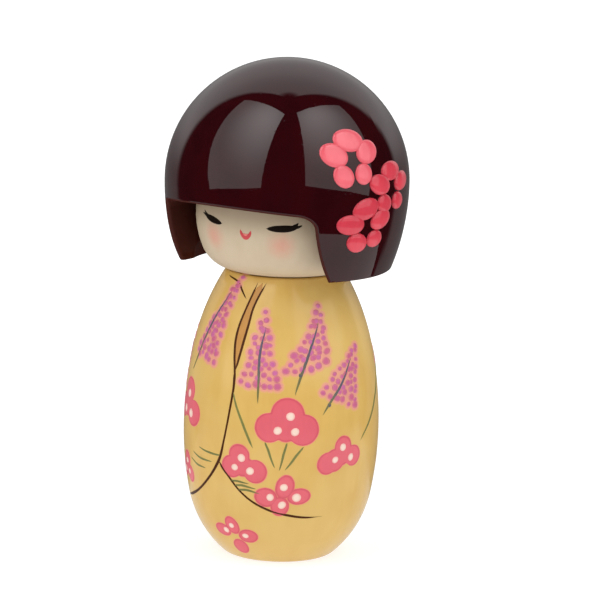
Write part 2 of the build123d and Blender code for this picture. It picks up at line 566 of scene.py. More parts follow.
@dataclass(frozen=True)
class HairLacquer:
    """Near-black maroon lacquer, browner where the window and the inside were cut."""

    maroon: Colour = paint(40, 4, 8)
    wine: Colour = paint(54, 7, 11)
    cut_brown: Colour = paint(70, 33, 28)
    worn: Colour = paint(120, 76, 52)
    gloss: Gloss = Gloss(0.3, 1.0, 0.025, 0.0)
    widest_radius: float = 34.1 * MM
    skirt_radius: float = 65.8 * MM
    wine_share: float = 0.4
    cut_share: float = 0.9
    worn_share: float = 0.6
    cut_depths: Spot = (0.2 * MM, 0.7 * MM)
    edge_depths: Spot = (0.25 * MM, 0.5 * MM)
    inside_depths: Spot = (1.0 * MM, 0.6 * MM)
    facing_limits: Spot = (0.985, 0.92)
    cut_coat_loss: float = 0.86
    relief: float = 0.010 * MM

    def depth(self, bench: FinishBench) -> bpy.types.NodeSocket:
        """Return how far each point lies inside the cap's outer skin, in metres.

        Args:
            bench: the bench of the hair's material.

        Returns:
            The depth, 0 on the outer skin and growing inwards.
        """
        low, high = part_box("hair")
        widest_height = high[2] - self.widest_radius
        x, y, z = bench.split(bench.place)
        radius = bench.from_axis(x, y)
        climb = bench.math("SUBTRACT", z, widest_height)
        dome = bench.math("SUBTRACT", self.widest_radius,
                          bench.distance(bench.place, (0.0, 0.0, widest_height)))
        drop = bench.math("MULTIPLY", climb, climb)
        reach = bench.math("SQRT", bench.math("SUBTRACT", self.skirt_radius ** 2, drop))
        skirt = bench.math("SUBTRACT", bench.math(
            "ADD", reach, self.widest_radius - self.skirt_radius), radius)
        above = bench.math("GREATER_THAN", climb, 0.0)
        return bench.math("ADD", bench.math("MULTIPLY", dome, above),
                          bench.math("MULTIPLY", skirt, bench.math("SUBTRACT", 1.0, above)))

    def turned_away(self, bench: FinishBench) -> bpy.types.NodeSocket:
        """Return 1 where the surface has turned away from the cap's outer skin.

        Args:
            bench: the bench of the hair's material.

        Returns:
            The mask, 0 on the outer skin and 1 on cut faces and rounded edges.
        """
        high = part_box("hair")[1]
        x, y, z = bench.split(bench.place)
        radius = bench.from_axis(x, y)
        climb = bench.math("SUBTRACT", z, high[2] - self.widest_radius)
        inner = bench.math("ADD", radius, self.skirt_radius - self.widest_radius)
        share = bench.math("DIVIDE", radius, inner)
        share = bench.math("MAXIMUM", share, bench.math("GREATER_THAN", climb, 0.0))
        upright = bench.add("ShaderNodeCombineXYZ")
        for socket, value in zip(upright.inputs,
                                 (x, y, bench.math("MULTIPLY", climb, share))):
            bench.feed(socket, value)
        unit = bench.add("ShaderNodeVectorMath", operation="NORMALIZE")
        bench.feed(unit.inputs[0], upright.outputs[0])
        facing = bench.add("ShaderNodeVectorMath", operation="DOT_PRODUCT")
        bench.feed(facing.inputs[0], unit.outputs[0])
        bench.feed(facing.inputs[1], bench.object_normal())
        return bench.ease(facing.outputs["Value"], *self.facing_limits)

    def make(self, effects: Effects) -> bpy.types.Material:
        """Build the material from the shared effects.

        Args:
            effects: the shared effects.

        Returns:
            The hair's material.
        """
        bench = FinishBench("hair_lacquer", self.gloss)
        turning = bench.effect(effects.turning, Place=bench.place, Rings=700.0)
        varnish = bench.effect(effects.varnish, Place=bench.place, Ripple=0.8)
        brushing = bench.effect(effects.brushing, Place=bench.place, Fineness=200.0)
        wear = bench.effect(effects.wear, Place=bench.place, Amount=0.36)
        depth = self.depth(bench)
        cut = bench.math("MAXIMUM", bench.ease(depth, *self.cut_depths),
                         self.turned_away(bench))
        streaks = bench.math("MULTIPLY", brushing.outputs["Density"], self.wine_share)
        colour = bench.blend(streaks, self.maroon, self.wine)
        colour = bench.blend(bench.math("MULTIPLY", cut, self.cut_share), colour,
                             self.cut_brown)
        edge = bench.math("MULTIPLY", bench.ease(depth, *self.edge_depths),
                          bench.ease(depth, *self.inside_depths))
        rubbed = bench.math("MULTIPLY", edge, wear.outputs["Rubbed"])
        colour = bench.blend(bench.math("MULTIPLY", rubbed, self.worn_share), colour,
                             self.worn)
        dull = bench.math("MULTIPLY_ADD", varnish.outputs["Dullness"], 0.12,
                          self.gloss.roughness)
        dull = bench.math("MULTIPLY_ADD", wear.outputs["Scratch"], 0.1, dull)
        coat = bench.math("MULTIPLY_ADD", cut, -self.cut_coat_loss, self.gloss.coat)
        bench.feed(bench.shader.inputs["Coat Weight"], coat)
        height = bench.math("MULTIPLY_ADD", turning.outputs["Height"],
                            bench.math("MULTIPLY_ADD", cut, 2.2, 0.25),
                            varnish.outputs["Height"])
        return bench.finish(colour, dull, height, self.relief)


@dataclass(frozen=True)
class SkinPaint:
    """Cream face paint with soft blush on both cheeks, and a painted shadow of the fringe that
    darkens it towards the hairline.
    """

    cream: Colour = paint(205, 187, 160)
    thin_cream: Colour = paint(196, 176, 148)
    # Darker cream of the painted shadow that the fringe casts on the upper face.
    fringe_shadow_cream: Colour = paint(158, 140, 116)
    fringe_shadow_heights: Spot = (92.5 * MM, 101.0 * MM)
    fringe_shadow_share: float = 0.75
    thin_share: float = 0.4
    blush: Colour = paint(226, 132, 118)
    left_cheek: Vector = field(default_factory=lambda: Vector((0, 0, 0)))
    right_cheek: Vector = field(default_factory=lambda: Vector((0, 0, 0)))
    blush_radius: float = 5.4 * MM
    blush_core: float = 0.2 * MM
    blush_unevenness: float = 1.6 * MM
    blush_strength: float = 0.44
    gloss: Gloss = Gloss(0.5, 0.3, 0.2)
    relief: float = 0.008 * MM

    def make(self, effects: Effects) -> bpy.types.Material:
        """Build the material from the shared effects.

        Args:
            effects: the shared effects.

        Returns:
            The head's material.
        """
        bench = FinishBench("skin_paint", self.gloss)
        turning = bench.effect(effects.turning, Place=bench.place, Rings=1100.0)
        varnish = bench.effect(effects.varnish, Place=bench.place)
        brushing = bench.effect(effects.brushing, Place=bench.place, Fineness=350.0)
        wear = bench.effect(effects.wear, Place=bench.place, Amount=0.2)
        thin = bench.math("MULTIPLY", brushing.outputs["Density"], self.thin_share)
        colour = bench.blend(thin, self.cream, self.thin_cream)
        # Painted shadow of the fringe: the cream darkens with height towards the hairline.
        hairline = bench.ease(bench.split(bench.place)[2], *self.fringe_shadow_heights)
        colour = bench.blend(bench.math("MULTIPLY", hairline, self.fringe_shadow_share), colour,
                             self.fringe_shadow_cream)
        dabs = bench.noise(bench.place, 900.0, 3.0)
        for cheek in (self.left_cheek, self.right_cheek):
            reach = bench.math("ADD", bench.distance(bench.place, cheek),
                               bench.math("MULTIPLY", bench.math("SUBTRACT", dabs, 0.5),
                                          self.blush_unevenness))
            mask = bench.ease(reach, self.blush_radius, self.blush_core)
            colour = bench.blend(bench.math("MULTIPLY", mask, self.blush_strength), colour,
                                 self.blush)
        dull = bench.math("MULTIPLY_ADD", varnish.outputs["Dullness"], 0.12,
                          self.gloss.roughness)
        dull = bench.math("MULTIPLY_ADD", wear.outputs["Scratch"], 0.08, dull)
        height = bench.math("MULTIPLY_ADD", turning.outputs["Height"], 0.4,
                            varnish.outputs["Height"])
        return bench.finish(colour, dull, height, self.relief)


@dataclass(frozen=True)
class BareWood:
    """Pale turned dowel of fine close-grained wood."""

    pale: Colour = paint(219, 186, 138)
    dark: Colour = paint(182, 140, 94)
    gloss: Gloss = Gloss(0.62, 0.0, 0.3, 0.4)
    grain_share: float = 0.5
    pore_share: float = 0.5
    relief: float = 0.02 * MM

    def make(self, effects: Effects) -> bpy.types.Material:
        """Build the material from the shared effects.

        Args:
            effects: the shared effects.

        Returns:
            The dowels' material.
        """
        bench = FinishBench("bare_wood", self.gloss)
        grain = bench.effect(effects.end_grain, Place=bench.place)
        turning = bench.effect(effects.turning, Place=bench.place, Rings=1400.0)
        colour = self.pale
        for name, share in (("Ring", self.grain_share), ("Pore", self.pore_share)):
            colour = bench.blend(bench.math("MULTIPLY", grain.outputs[name], share), colour,
                                 self.dark)
        dull = bench.math("MULTIPLY_ADD", grain.outputs["Pore"], 0.12, self.gloss.roughness)
        return bench.finish(colour, dull, turning.outputs["Height"], self.relief)


ENAMEL_GLOSS = Gloss(0.38, 1.0, 0.07)


@dataclass(frozen=True)
class MotifPaint:
    """Hand-laid paint of one motif.

    The edge attribute runs from 0 in the middle of a touch to 1 at its rim, along runs
    from 0 to 1 down a stroke, and shade is one chance value for each touch.
    """

    name: str
    middle: Colour
    rim: Colour
    other: Colour
    end: Colour
    ring: Colour | None = None
    rim_start: float = 0.55
    rim_strength: float = 0.8
    shade_strength: float = 0.6
    end_strength: float = 0.0
    streaks: float = 0.25
    streak_colour: Colour = paint(120, 40, 50)
    gloss: Gloss = Gloss(0.45, 0.5, 0.15)
    relief: float = 0.01

    def make(self, effects: Effects) -> bpy.types.Material:
        """Build the material from the shared effects.

        Args:
            effects: the shared effects.

        Returns:
            The motif's material.
        """
        bench = FinishBench(self.name, self.gloss)
        brushing = bench.effect(effects.brushing, Place=bench.place, Fineness=900.0)
        varnish = bench.effect(effects.varnish, Place=bench.place, Ripple=1.2)
        edge = bench.attribute("edge")
        shade = bench.attribute("shade")
        along = bench.attribute("along")
        colour = bench.blend(bench.math("MULTIPLY", shade, self.shade_strength), self.middle,
                             self.other)
        if self.end_strength:
            colour = bench.blend(bench.ease(along, 0.35, 0.9, 0.0, self.end_strength), colour,
                                 self.end)
        if self.ring:
            inner = bench.ease(edge, 0.15, self.rim_start + 0.1)
            colour = bench.blend(inner, colour, self.ring)
        rim = bench.ease(bench.math("MULTIPLY_ADD", bench.noise(bench.place, 700.0, 2.0),
                                    0.3, bench.math("SUBTRACT", edge, 0.15)),
                         self.rim_start, 1.0, 0.0, self.rim_strength)
        colour = bench.blend(rim, colour, self.rim)
        colour = bench.blend(bench.math("MULTIPLY", brushing.outputs["Density"],
                                        self.streaks), colour, self.streak_colour)
        dull = bench.math("MULTIPLY_ADD", varnish.outputs["Dullness"], 0.12,
                          self.gloss.roughness)
        height = bench.math("MULTIPLY_ADD", brushing.outputs["Height"], 1.6,
                            varnish.outputs["Height"])
        return bench.finish(colour, dull, height, self.relief * MM)


# ---- surfaces that are painted on -----------------------------------------------------


class TurnedSkin:
    """Outside of a turned node, as its radius at each height.

    A spot on it is an azimuth in degrees from the face (-Y) towards +X, and a height in
    millimetres.
    """

    rows: int = 360
    spokes: int = 24

    def __init__(self, node: str) -> None:
        """Read the node's outside.

        Args:
            node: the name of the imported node.
        """
        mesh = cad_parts[node].data
        tree = BVHTree.FromPolygons([v.co.copy() for v in mesh.vertices],
                                    [tuple(p.vertices) for p in mesh.polygons])
        low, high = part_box(node)
        self.low = low[2] + 0.02 * MM
        self.high = high[2] - 0.02 * MM
        self.radii = [self._widest(tree, between(self.low, self.high, row / self.rows))
                      for row in range(self.rows + 1)]

    def _widest(self, tree: BVHTree, height: float) -> float:
        """Return the largest radius that the outside has at a height.

        Args:
            tree: the node's faces.
            height: the height in metres.

        Returns:
            The radius in metres.
        """
        widest = 0.0
        for spoke in range(self.spokes):
            out = self.outward(360 * spoke / self.spokes)
            start = out * 0.2 + Vector((0, 0, height))
            hit = tree.ray_cast(start, -out)[0]
            if hit is not None:
                widest = max(widest, hit.xy.length)
        return widest

    @staticmethod
    def outward(azimuth: float) -> Vector:
        """Return the level direction of an azimuth."""
        turn = math.radians(azimuth)
        return Vector((math.sin(turn), -math.cos(turn), 0.0))

    def radius(self, height: float) -> float:
        """Return the radius in metres at a height in metres.

        Args:
            height: the height in metres.

        Returns:
            The radius in metres.
        """
        share = (height - self.low) / (self.high - self.low) * self.rows
        row = max(0, min(self.rows - 1, int(share)))
        return between(self.radii[row], self.radii[row + 1], share - row)

    def slope(self, height: float) -> float:
        """Return how fast the radius grows with height."""
        step = 0.6 * MM
        return (self.radius(height + step) - self.radius(height - step)) / (2 * step)

    def normal(self, azimuth: float, height: float) -> Vector:
        """Return the outward normal at a spot whose height is in millimetres."""
        out = self.outward(azimuth)
        return Vector((out.x, out.y, -self.slope(height * MM))).normalized()

    def point(self, azimuth: float, height: float, lift: float = 0.0) -> Vector:
        """Return the place of a spot, lifted off the skin by some millimetres.

        Args:
            azimuth: the spot's azimuth in degrees.
            height: the spot's height in millimetres.
            lift: how far off the skin, in millimetres.

        Returns:
            The place in metres.
        """
        out = self.outward(azimuth)
        place = out * self.radius(height * MM)
        place.z = height * MM
        return place + self.normal(azimuth, height) * lift * MM

    def shifted(self, spot: Spot, across: float, up: float) -> Spot:
        """Move a spot along the skin by millimetres across and up.

        Args:
            spot: the spot to start from.
            across: millimetres towards a growing azimuth.
            up: millimetres up the skin.

        Returns:
            The new spot.
        """
        slope = self.slope(spot[1] * MM)
        height = spot[1] + up / math.hypot(1.0, slope)
        return (spot[0] + math.degrees(across * MM / self.radius(height * MM)), height)

    def spread(self, spot: Spot, other: Spot) -> tuple[float, float]:
        """Return how far another spot lies across and up from a spot, in millimetres.

        Args:
            spot: the first spot.
            other: the other spot.

        Returns:
            The millimetres across and up.
        """
        slope = self.slope(spot[1] * MM)
        radius = self.radius((spot[1] + other[1]) / 2 * MM)
        return (math.radians(other[0] - spot[0]) * radius / MM,
                (other[1] - spot[1]) * math.hypot(1.0, slope))

    def spot(self, place: Vector) -> Spot:
        """Return the spot that lies straight out from the axis through a place."""
        return (math.degrees(math.atan2(place.x, -place.y)), place.z / MM)


def smooth_way(knots: Sequence[Sequence[float]], share: float) -> tuple[float, ...]:
    """Return the point at a share of the way along a smooth line through some knots.

    Args:
        knots: the points that the line passes through.
        share: 0 at the first knot and 1 at the last.

    Returns:
        The point on the line.
    """
    last = len(knots) - 1
    step = min(max(share, 0.0), 1.0) * last
    index = min(int(step), last - 1)
    t = step - index
    first, second = knots[index], knots[index + 1]
    before = knots[index - 1] if index else [2 * a - b for a, b in zip(first, second)]
    after = (knots[index + 2] if index + 2 <= last
             else [2 * b - a for a, b in zip(first, second)])
    return tuple(
        0.5 * (2 * b + (c - a) * t + (2 * a - 5 * b + 4 * c - d) * t * t
               + (3 * b - a - 3 * c + d) * t ** 3)
        for a, b, c, d in zip(before, first, second, after))


class Touches:
    """One painted piece made of touches of the brush on a turned skin."""

    rim_tolerance: float = 1e-4
    thinnest: float = 0.02
    taper: float = 3.5
    tip_sink: float = 0.01

    def __init__(self, skin: TurnedSkin, chance: random.Random) -> None:
        """Start an empty piece.

        Args:
            skin: the surface it lies on.
            chance: the seeded source of small irregularities.
        """
        self.skin = skin
        self.chance = chance
        self.work = bmesh.new()
        self.edge = self.work.verts.layers.float.new("edge")
        self.shade = self.work.verts.layers.float.new("shade")
        self.along = self.work.verts.layers.float.new("along")

    def stroke(self, knots: Sequence[Spot], widths: Sequence[float], lift: float = 0.05,
               sink: float = 0.06, steps: int = 28, sides: int = 10,
               wobble: float = 0.0) -> None:
        """Lay one stroke along a smooth line.

        Args:
            knots: the spots that the line passes through.
            widths: half widths in millimetres, spread evenly down the line.
            lift: how far the middle stands up, in millimetres.
            sink: how far the underside lies below the skin, in millimetres.
            steps: rings down the stroke.
            sides: points round each ring.
            wobble: how far the hand strays, in millimetres.
        """
        ball = bmesh.ops.create_uvsphere(self.work, u_segments=sides, v_segments=steps,
                                         radius=1.0)
        shade = self.chance.random()
        phase = self.chance.uniform(0, math.tau)
        for vert in ball["verts"]:
            polar = math.acos(max(-1.0, min(1.0, vert.co.z)))
            share = polar / math.pi
            turn = math.atan2(vert.co.y, vert.co.x)
            ring = 0.0 if share in (0.0, 1.0) else 1.0
            here = smooth_way(knots, share)
            ahead = smooth_way(knots, min(share + 0.01, 1.0))
            behind = smooth_way(knots, max(share - 0.01, 0.0))
            run = self.skin.point(*ahead) - self.skin.point(*behind)
            normal = self.skin.normal(*here)
            side = normal.cross(run).normalized()
            width = smooth_way([[w] for w in widths], share)[0]
            width = max(width, self.thinnest) * min(1.0, math.sin(polar) * self.taper)
            sway = wobble * math.sin(share * 9 + phase)
            reach = (math.cos(turn) * width + sway) * ring
            out = self.skin.outward(here[0])
            around = Vector((-out.y, out.x, 0.0))
            climb = normal.cross(around)
            across, up = side.dot(around) * reach, side.dot(climb) * reach
            rise = math.sin(turn) * ring
            level = lift * rise if rise > 0 else sink * rise
            level -= self.tip_sink * (1 - ring)
            vert.co = self.skin.point(*self.skin.shifted(here, across, up), level)
            vert[self.edge] = abs(math.cos(turn)) if ring else 1.0
            vert[self.shade] = shade
            vert[self.along] = share

    def dab(self, spot: Spot, across: float, up: float, lean: float = 0.0,
            lift: float = 0.08, sink: float = 0.07, sides: int = 10, rings: int = 5,
            fullness: float = 2.0) -> None:
        """Lay one rounded dab.

        Args:
            spot: the spot of its middle.
            across: half its width, in millimetres.
            up: half its height, in millimetres.
            lean: how far it is turned, in degrees.
            lift: how far its middle stands up, in millimetres.
            sink: how far its underside lies below the skin, in millimetres.
            sides: points round it.
            rings: rings from its top to its underside.
            fullness: 2 for a round section, more for a flatter top and steeper sides.
        """
        self.patch(spot, lambda turn: 1.0, across, up, lean, lift, sink, sides, rings,
                   fullness, 0.0)

    def patch(self, spot: Spot, outline: Callable[[float], float], across: float = 1.0,
              up: float = 1.0, lean: float = 0.0, lift: float = 0.05, sink: float = 0.08,
              sides: int = 72, rings: int = 12, fullness: float = 4.0,
              rim: float = 0.0, squash: float = 1.0) -> None:
        """Lay a patch whose outline is given as a radius in each direction.

        Args:
            spot: the spot of its middle.
            outline: the radius in millimetres at an angle in radians.
            across: scale across.
            up: scale up.
            lean: how far it is turned, in degrees.
            lift: how far its middle stands up, in millimetres.
            sink: how far its underside lies below the skin, in millimetres.
            sides: points round it.
            rings: rings from its top to its underside.
            fullness: 2 for a round section, more for a flatter top and steeper sides.
            rim: the width in millimetres over which the edge value rises, or 0 for a
                rise over the whole radius.
            squash: scale up the skin, after the patch is turned.
        """
        ball = bmesh.ops.create_uvsphere(self.work, u_segments=sides, v_segments=rings,
                                         radius=1.0)
        shade = self.chance.random()
        for edge in {edge for vert in ball["verts"] for edge in vert.link_edges}:
            edge.smooth = any(abs(vert.co.z) > self.rim_tolerance for vert in edge.verts)
        tilt = math.radians(lean)
        for vert in ball["verts"]:
            flat = min(1.0, vert.co.xy.length)
            turn = math.atan2(vert.co.y, vert.co.x)
            reach = outline(turn) * flat
            x, y = math.cos(turn) * reach * across, math.sin(turn) * reach * up
            x, y = (x * math.cos(tilt) - y * math.sin(tilt),
                    (x * math.sin(tilt) + y * math.cos(tilt)) * squash)
            rise = (1 - flat ** fullness) ** (1 / fullness)
            level = lift * rise if vert.co.z > 0 else -sink * rise
            vert.co = self.skin.point(*self.skin.shifted(spot, x, y), level)
            if rim:
                vert[self.edge] = max(0.0, 1 - outline(turn) * (1 - flat) / rim)
            else:
                vert[self.edge] = flat
            vert[self.shade] = shade
            vert[self.along] = 0.5 + 0.5 * y / max(up * outline(turn), 1e-6)

    def piece(self, name: str, body: Body, slot: Slot,
              finish: bpy.types.Material) -> bpy.types.Object:
        """Turn the touches into one piece.

        Args:
            name: the piece's name.
            body: the body that it rides on.
            slot: not used.
            finish: its material.

        Returns:
            The new object.
        """
        bmesh.ops.recalc_face_normals(self.work, faces=self.work.faces[:])
        mesh = bpy.data.meshes.new(name)
        self.work.to_mesh(mesh)
        self.work.free()
        mesh.shade_smooth()
        mesh.materials.append(finish)
        item = bpy.data.objects.new(name, mesh)
        bpy.context.scene.collection.objects.link(item)
        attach(item, body.value)
        log.info("%s: %d faces on %s", name, len(mesh.polygons), body.value)
        return item


# ---- kimono painting ------------------------------------------------------------------


@dataclass
class Wisteria:
    """A hanging wisteria cluster: a stem and rows of dots that widen downwards."""

    name: str
    stem: Sequence[Spot]
    tip: Spot
    left: Spot
    right: Spot
    rows: int = 10
    most: int = 6
    fanning: float = 0.75
    dot: float = 0.88
    stray: float = 0.5
    halo: float = 0.95
    stem_width: float = 0.36
    wash_lift: float = 0.05
    dot_lift: float = 0.13
    stem_lift: float = 0.17
    bud_lift: float = 0.19
    bud: Spot | None = None
    green_stem: bool = False

    def spots(self, skin: TurnedSkin,
              chance: random.Random) -> list[tuple[Spot, float, float, float]]:
        """Scatter the dots in rows.

        Args:
            skin: the body's skin.
            chance: the seeded source of irregularities.

        Returns:
            Each dot's spot, half width, half height and lean.
        """
        spots = []
        for row in range(self.rows):
            share = row / (self.rows - 1)
            left = [between(a, b, share) for a, b in zip(self.tip, self.left)]
            right = [between(a, b, share) for a, b in zip(self.tip, self.right)]
            count = 1 + round((self.most - 1) * share ** self.fanning)
            for place in range(count):
                side = 0.5 if count == 1 else place / (count - 1)
                spot = (between(left[0], right[0], side), between(left[1], right[1], side))
                spot = skin.shifted(spot, chance.uniform(-self.stray, self.stray),
                                    chance.uniform(-self.stray, self.stray) * 1.4)
                size = self.dot * chance.uniform(0.8, 1.22) * between(0.92, 1.12, share)
                spots.append((spot, size * chance.uniform(0.95, 1.2),
                              size * chance.uniform(0.85, 1.1), chance.uniform(-40, 40)))
        return spots

    def dots(self, skin: TurnedSkin, chance: random.Random) -> tuple[Touches, Touches]:
        """Lay the dots, each over a wider touch of thin pink.

        Args:
            skin: the body's skin.
            chance: the seeded source of irregularities.

        Returns:
            The thin pink touches and the dots over them.
        """
        thin, full = Touches(skin, chance), Touches(skin, chance)
        for spot, wide, tall, lean in self.spots(skin, chance):
            thin.dab(spot, wide + self.halo, tall + self.halo, lean, self.wash_lift,
                     sides=14, rings=6, fullness=1.0)
            full.dab(spot, wide, tall, lean, self.dot_lift)
        return thin, full

    def twig(self, skin: TurnedSkin, chance: random.Random) -> Touches:
        """Lay the stem over the dots.

        Args:
            skin: the body's skin.
            chance: the seeded source of irregularities.

        Returns:
            The stem's touches.
        """
        touches = Touches(skin, chance)
        width = self.stem_width
        touches.stroke(self.stem, (width * 0.25, width * 0.9, width * 1.15, width, width * 0.4),
                       self.stem_lift, wobble=0.12)
        if self.bud:
            touches.dab(self.bud, 0.7, 0.6, chance.uniform(0, 90), self.bud_lift)
        return touches


@dataclass
class Blossom:
    """A pink blossom of round lobes with a white dot on each."""

    name: str
    lobes: Sequence[tuple[float, float, float]]
    dots: Sequence[Spot]
    merged: bool = True
    dot: float = 1.22
    rim: float = 1.15

    def middle(self) -> Spot:
        """Return the spot in the middle of the lobes."""
        azimuths, heights, _ = zip(*self.lobes)
        return sum(azimuths) / len(azimuths), sum(heights) / len(heights)

    def outline(self, skin: TurnedSkin, middle: Spot) -> Callable[[float], float]:
        """Return the outer line of the merged lobes as a radius in each direction.

        Args:
            skin: the body's skin.
            middle: the spot in the middle of the lobes.

        Returns:
            The radius in millimetres as a function of the direction.
        """
        rounds = [(*skin.spread(middle, lobe[:2]), lobe[2]) for lobe in self.lobes]

        def radius(turn: float) -> float:
            """Return how far out the outer line lies in one direction.

            Args:
                turn: the direction in radians.

            Returns:
                The radius in millimetres.
            """
            reach = 0.4
            for x, y, size in rounds:
                near = x * math.cos(turn) + y * math.sin(turn)
                gap = size * size - (x * x + y * y - near * near)
                if gap > 0:
                    reach = max(reach, near + math.sqrt(gap))
            return reach + 0.1 * math.sin(3 * turn + middle[0])

        return radius

    def petals(self, skin: TurnedSkin, chance: random.Random) -> Touches:
        """Lay the pink lobes.

        Args:
            skin: the body's skin.
            chance: the seeded source of irregularities.

        Returns:
            The lobes' touches.
        """
        touches = Touches(skin, chance)
        middle = self.middle()
        if self.merged:
            touches.patch(middle, self.outline(skin, middle), sides=96, rings=14,
                          rim=self.rim)
            return touches
        for azimuth, height, size in self.lobes:
            x, y = skin.spread(middle, (azimuth, height))
            lean = math.degrees(math.atan2(y, x))
            phase = chance.uniform(0, math.tau)
            touches.patch((azimuth, height),
                          lambda turn, phase=phase: 1 + 0.05 * math.sin(2 * turn + phase),
                          size * 1.12, size * 0.9, lean, 0.05 + 0.01 * chance.random(),
                          sides=40, rings=10, rim=0.36)
        return touches

    def hearts(self, skin: TurnedSkin, chance: random.Random) -> Touches:
        """Lay the white dots.

        Args:
            skin: the body's skin.
            chance: the seeded source of irregularities.

        Returns:
            The dots' touches.
        """
        touches = Touches(skin, chance)
        for spot in self.dots:
            size = self.dot * chance.uniform(0.9, 1.12)
            touches.dab(spot, size, size * chance.uniform(0.85, 1.05),
                        chance.uniform(0, 90), 0.13, sides=14, rings=7, fullness=2.4)
        return touches


@dataclass
class Stroke:
    """One free stroke: its spots and its half widths in millimetres."""

    knots: Sequence[Spot]
    widths: Sequence[float]
    lift: float = 0.06


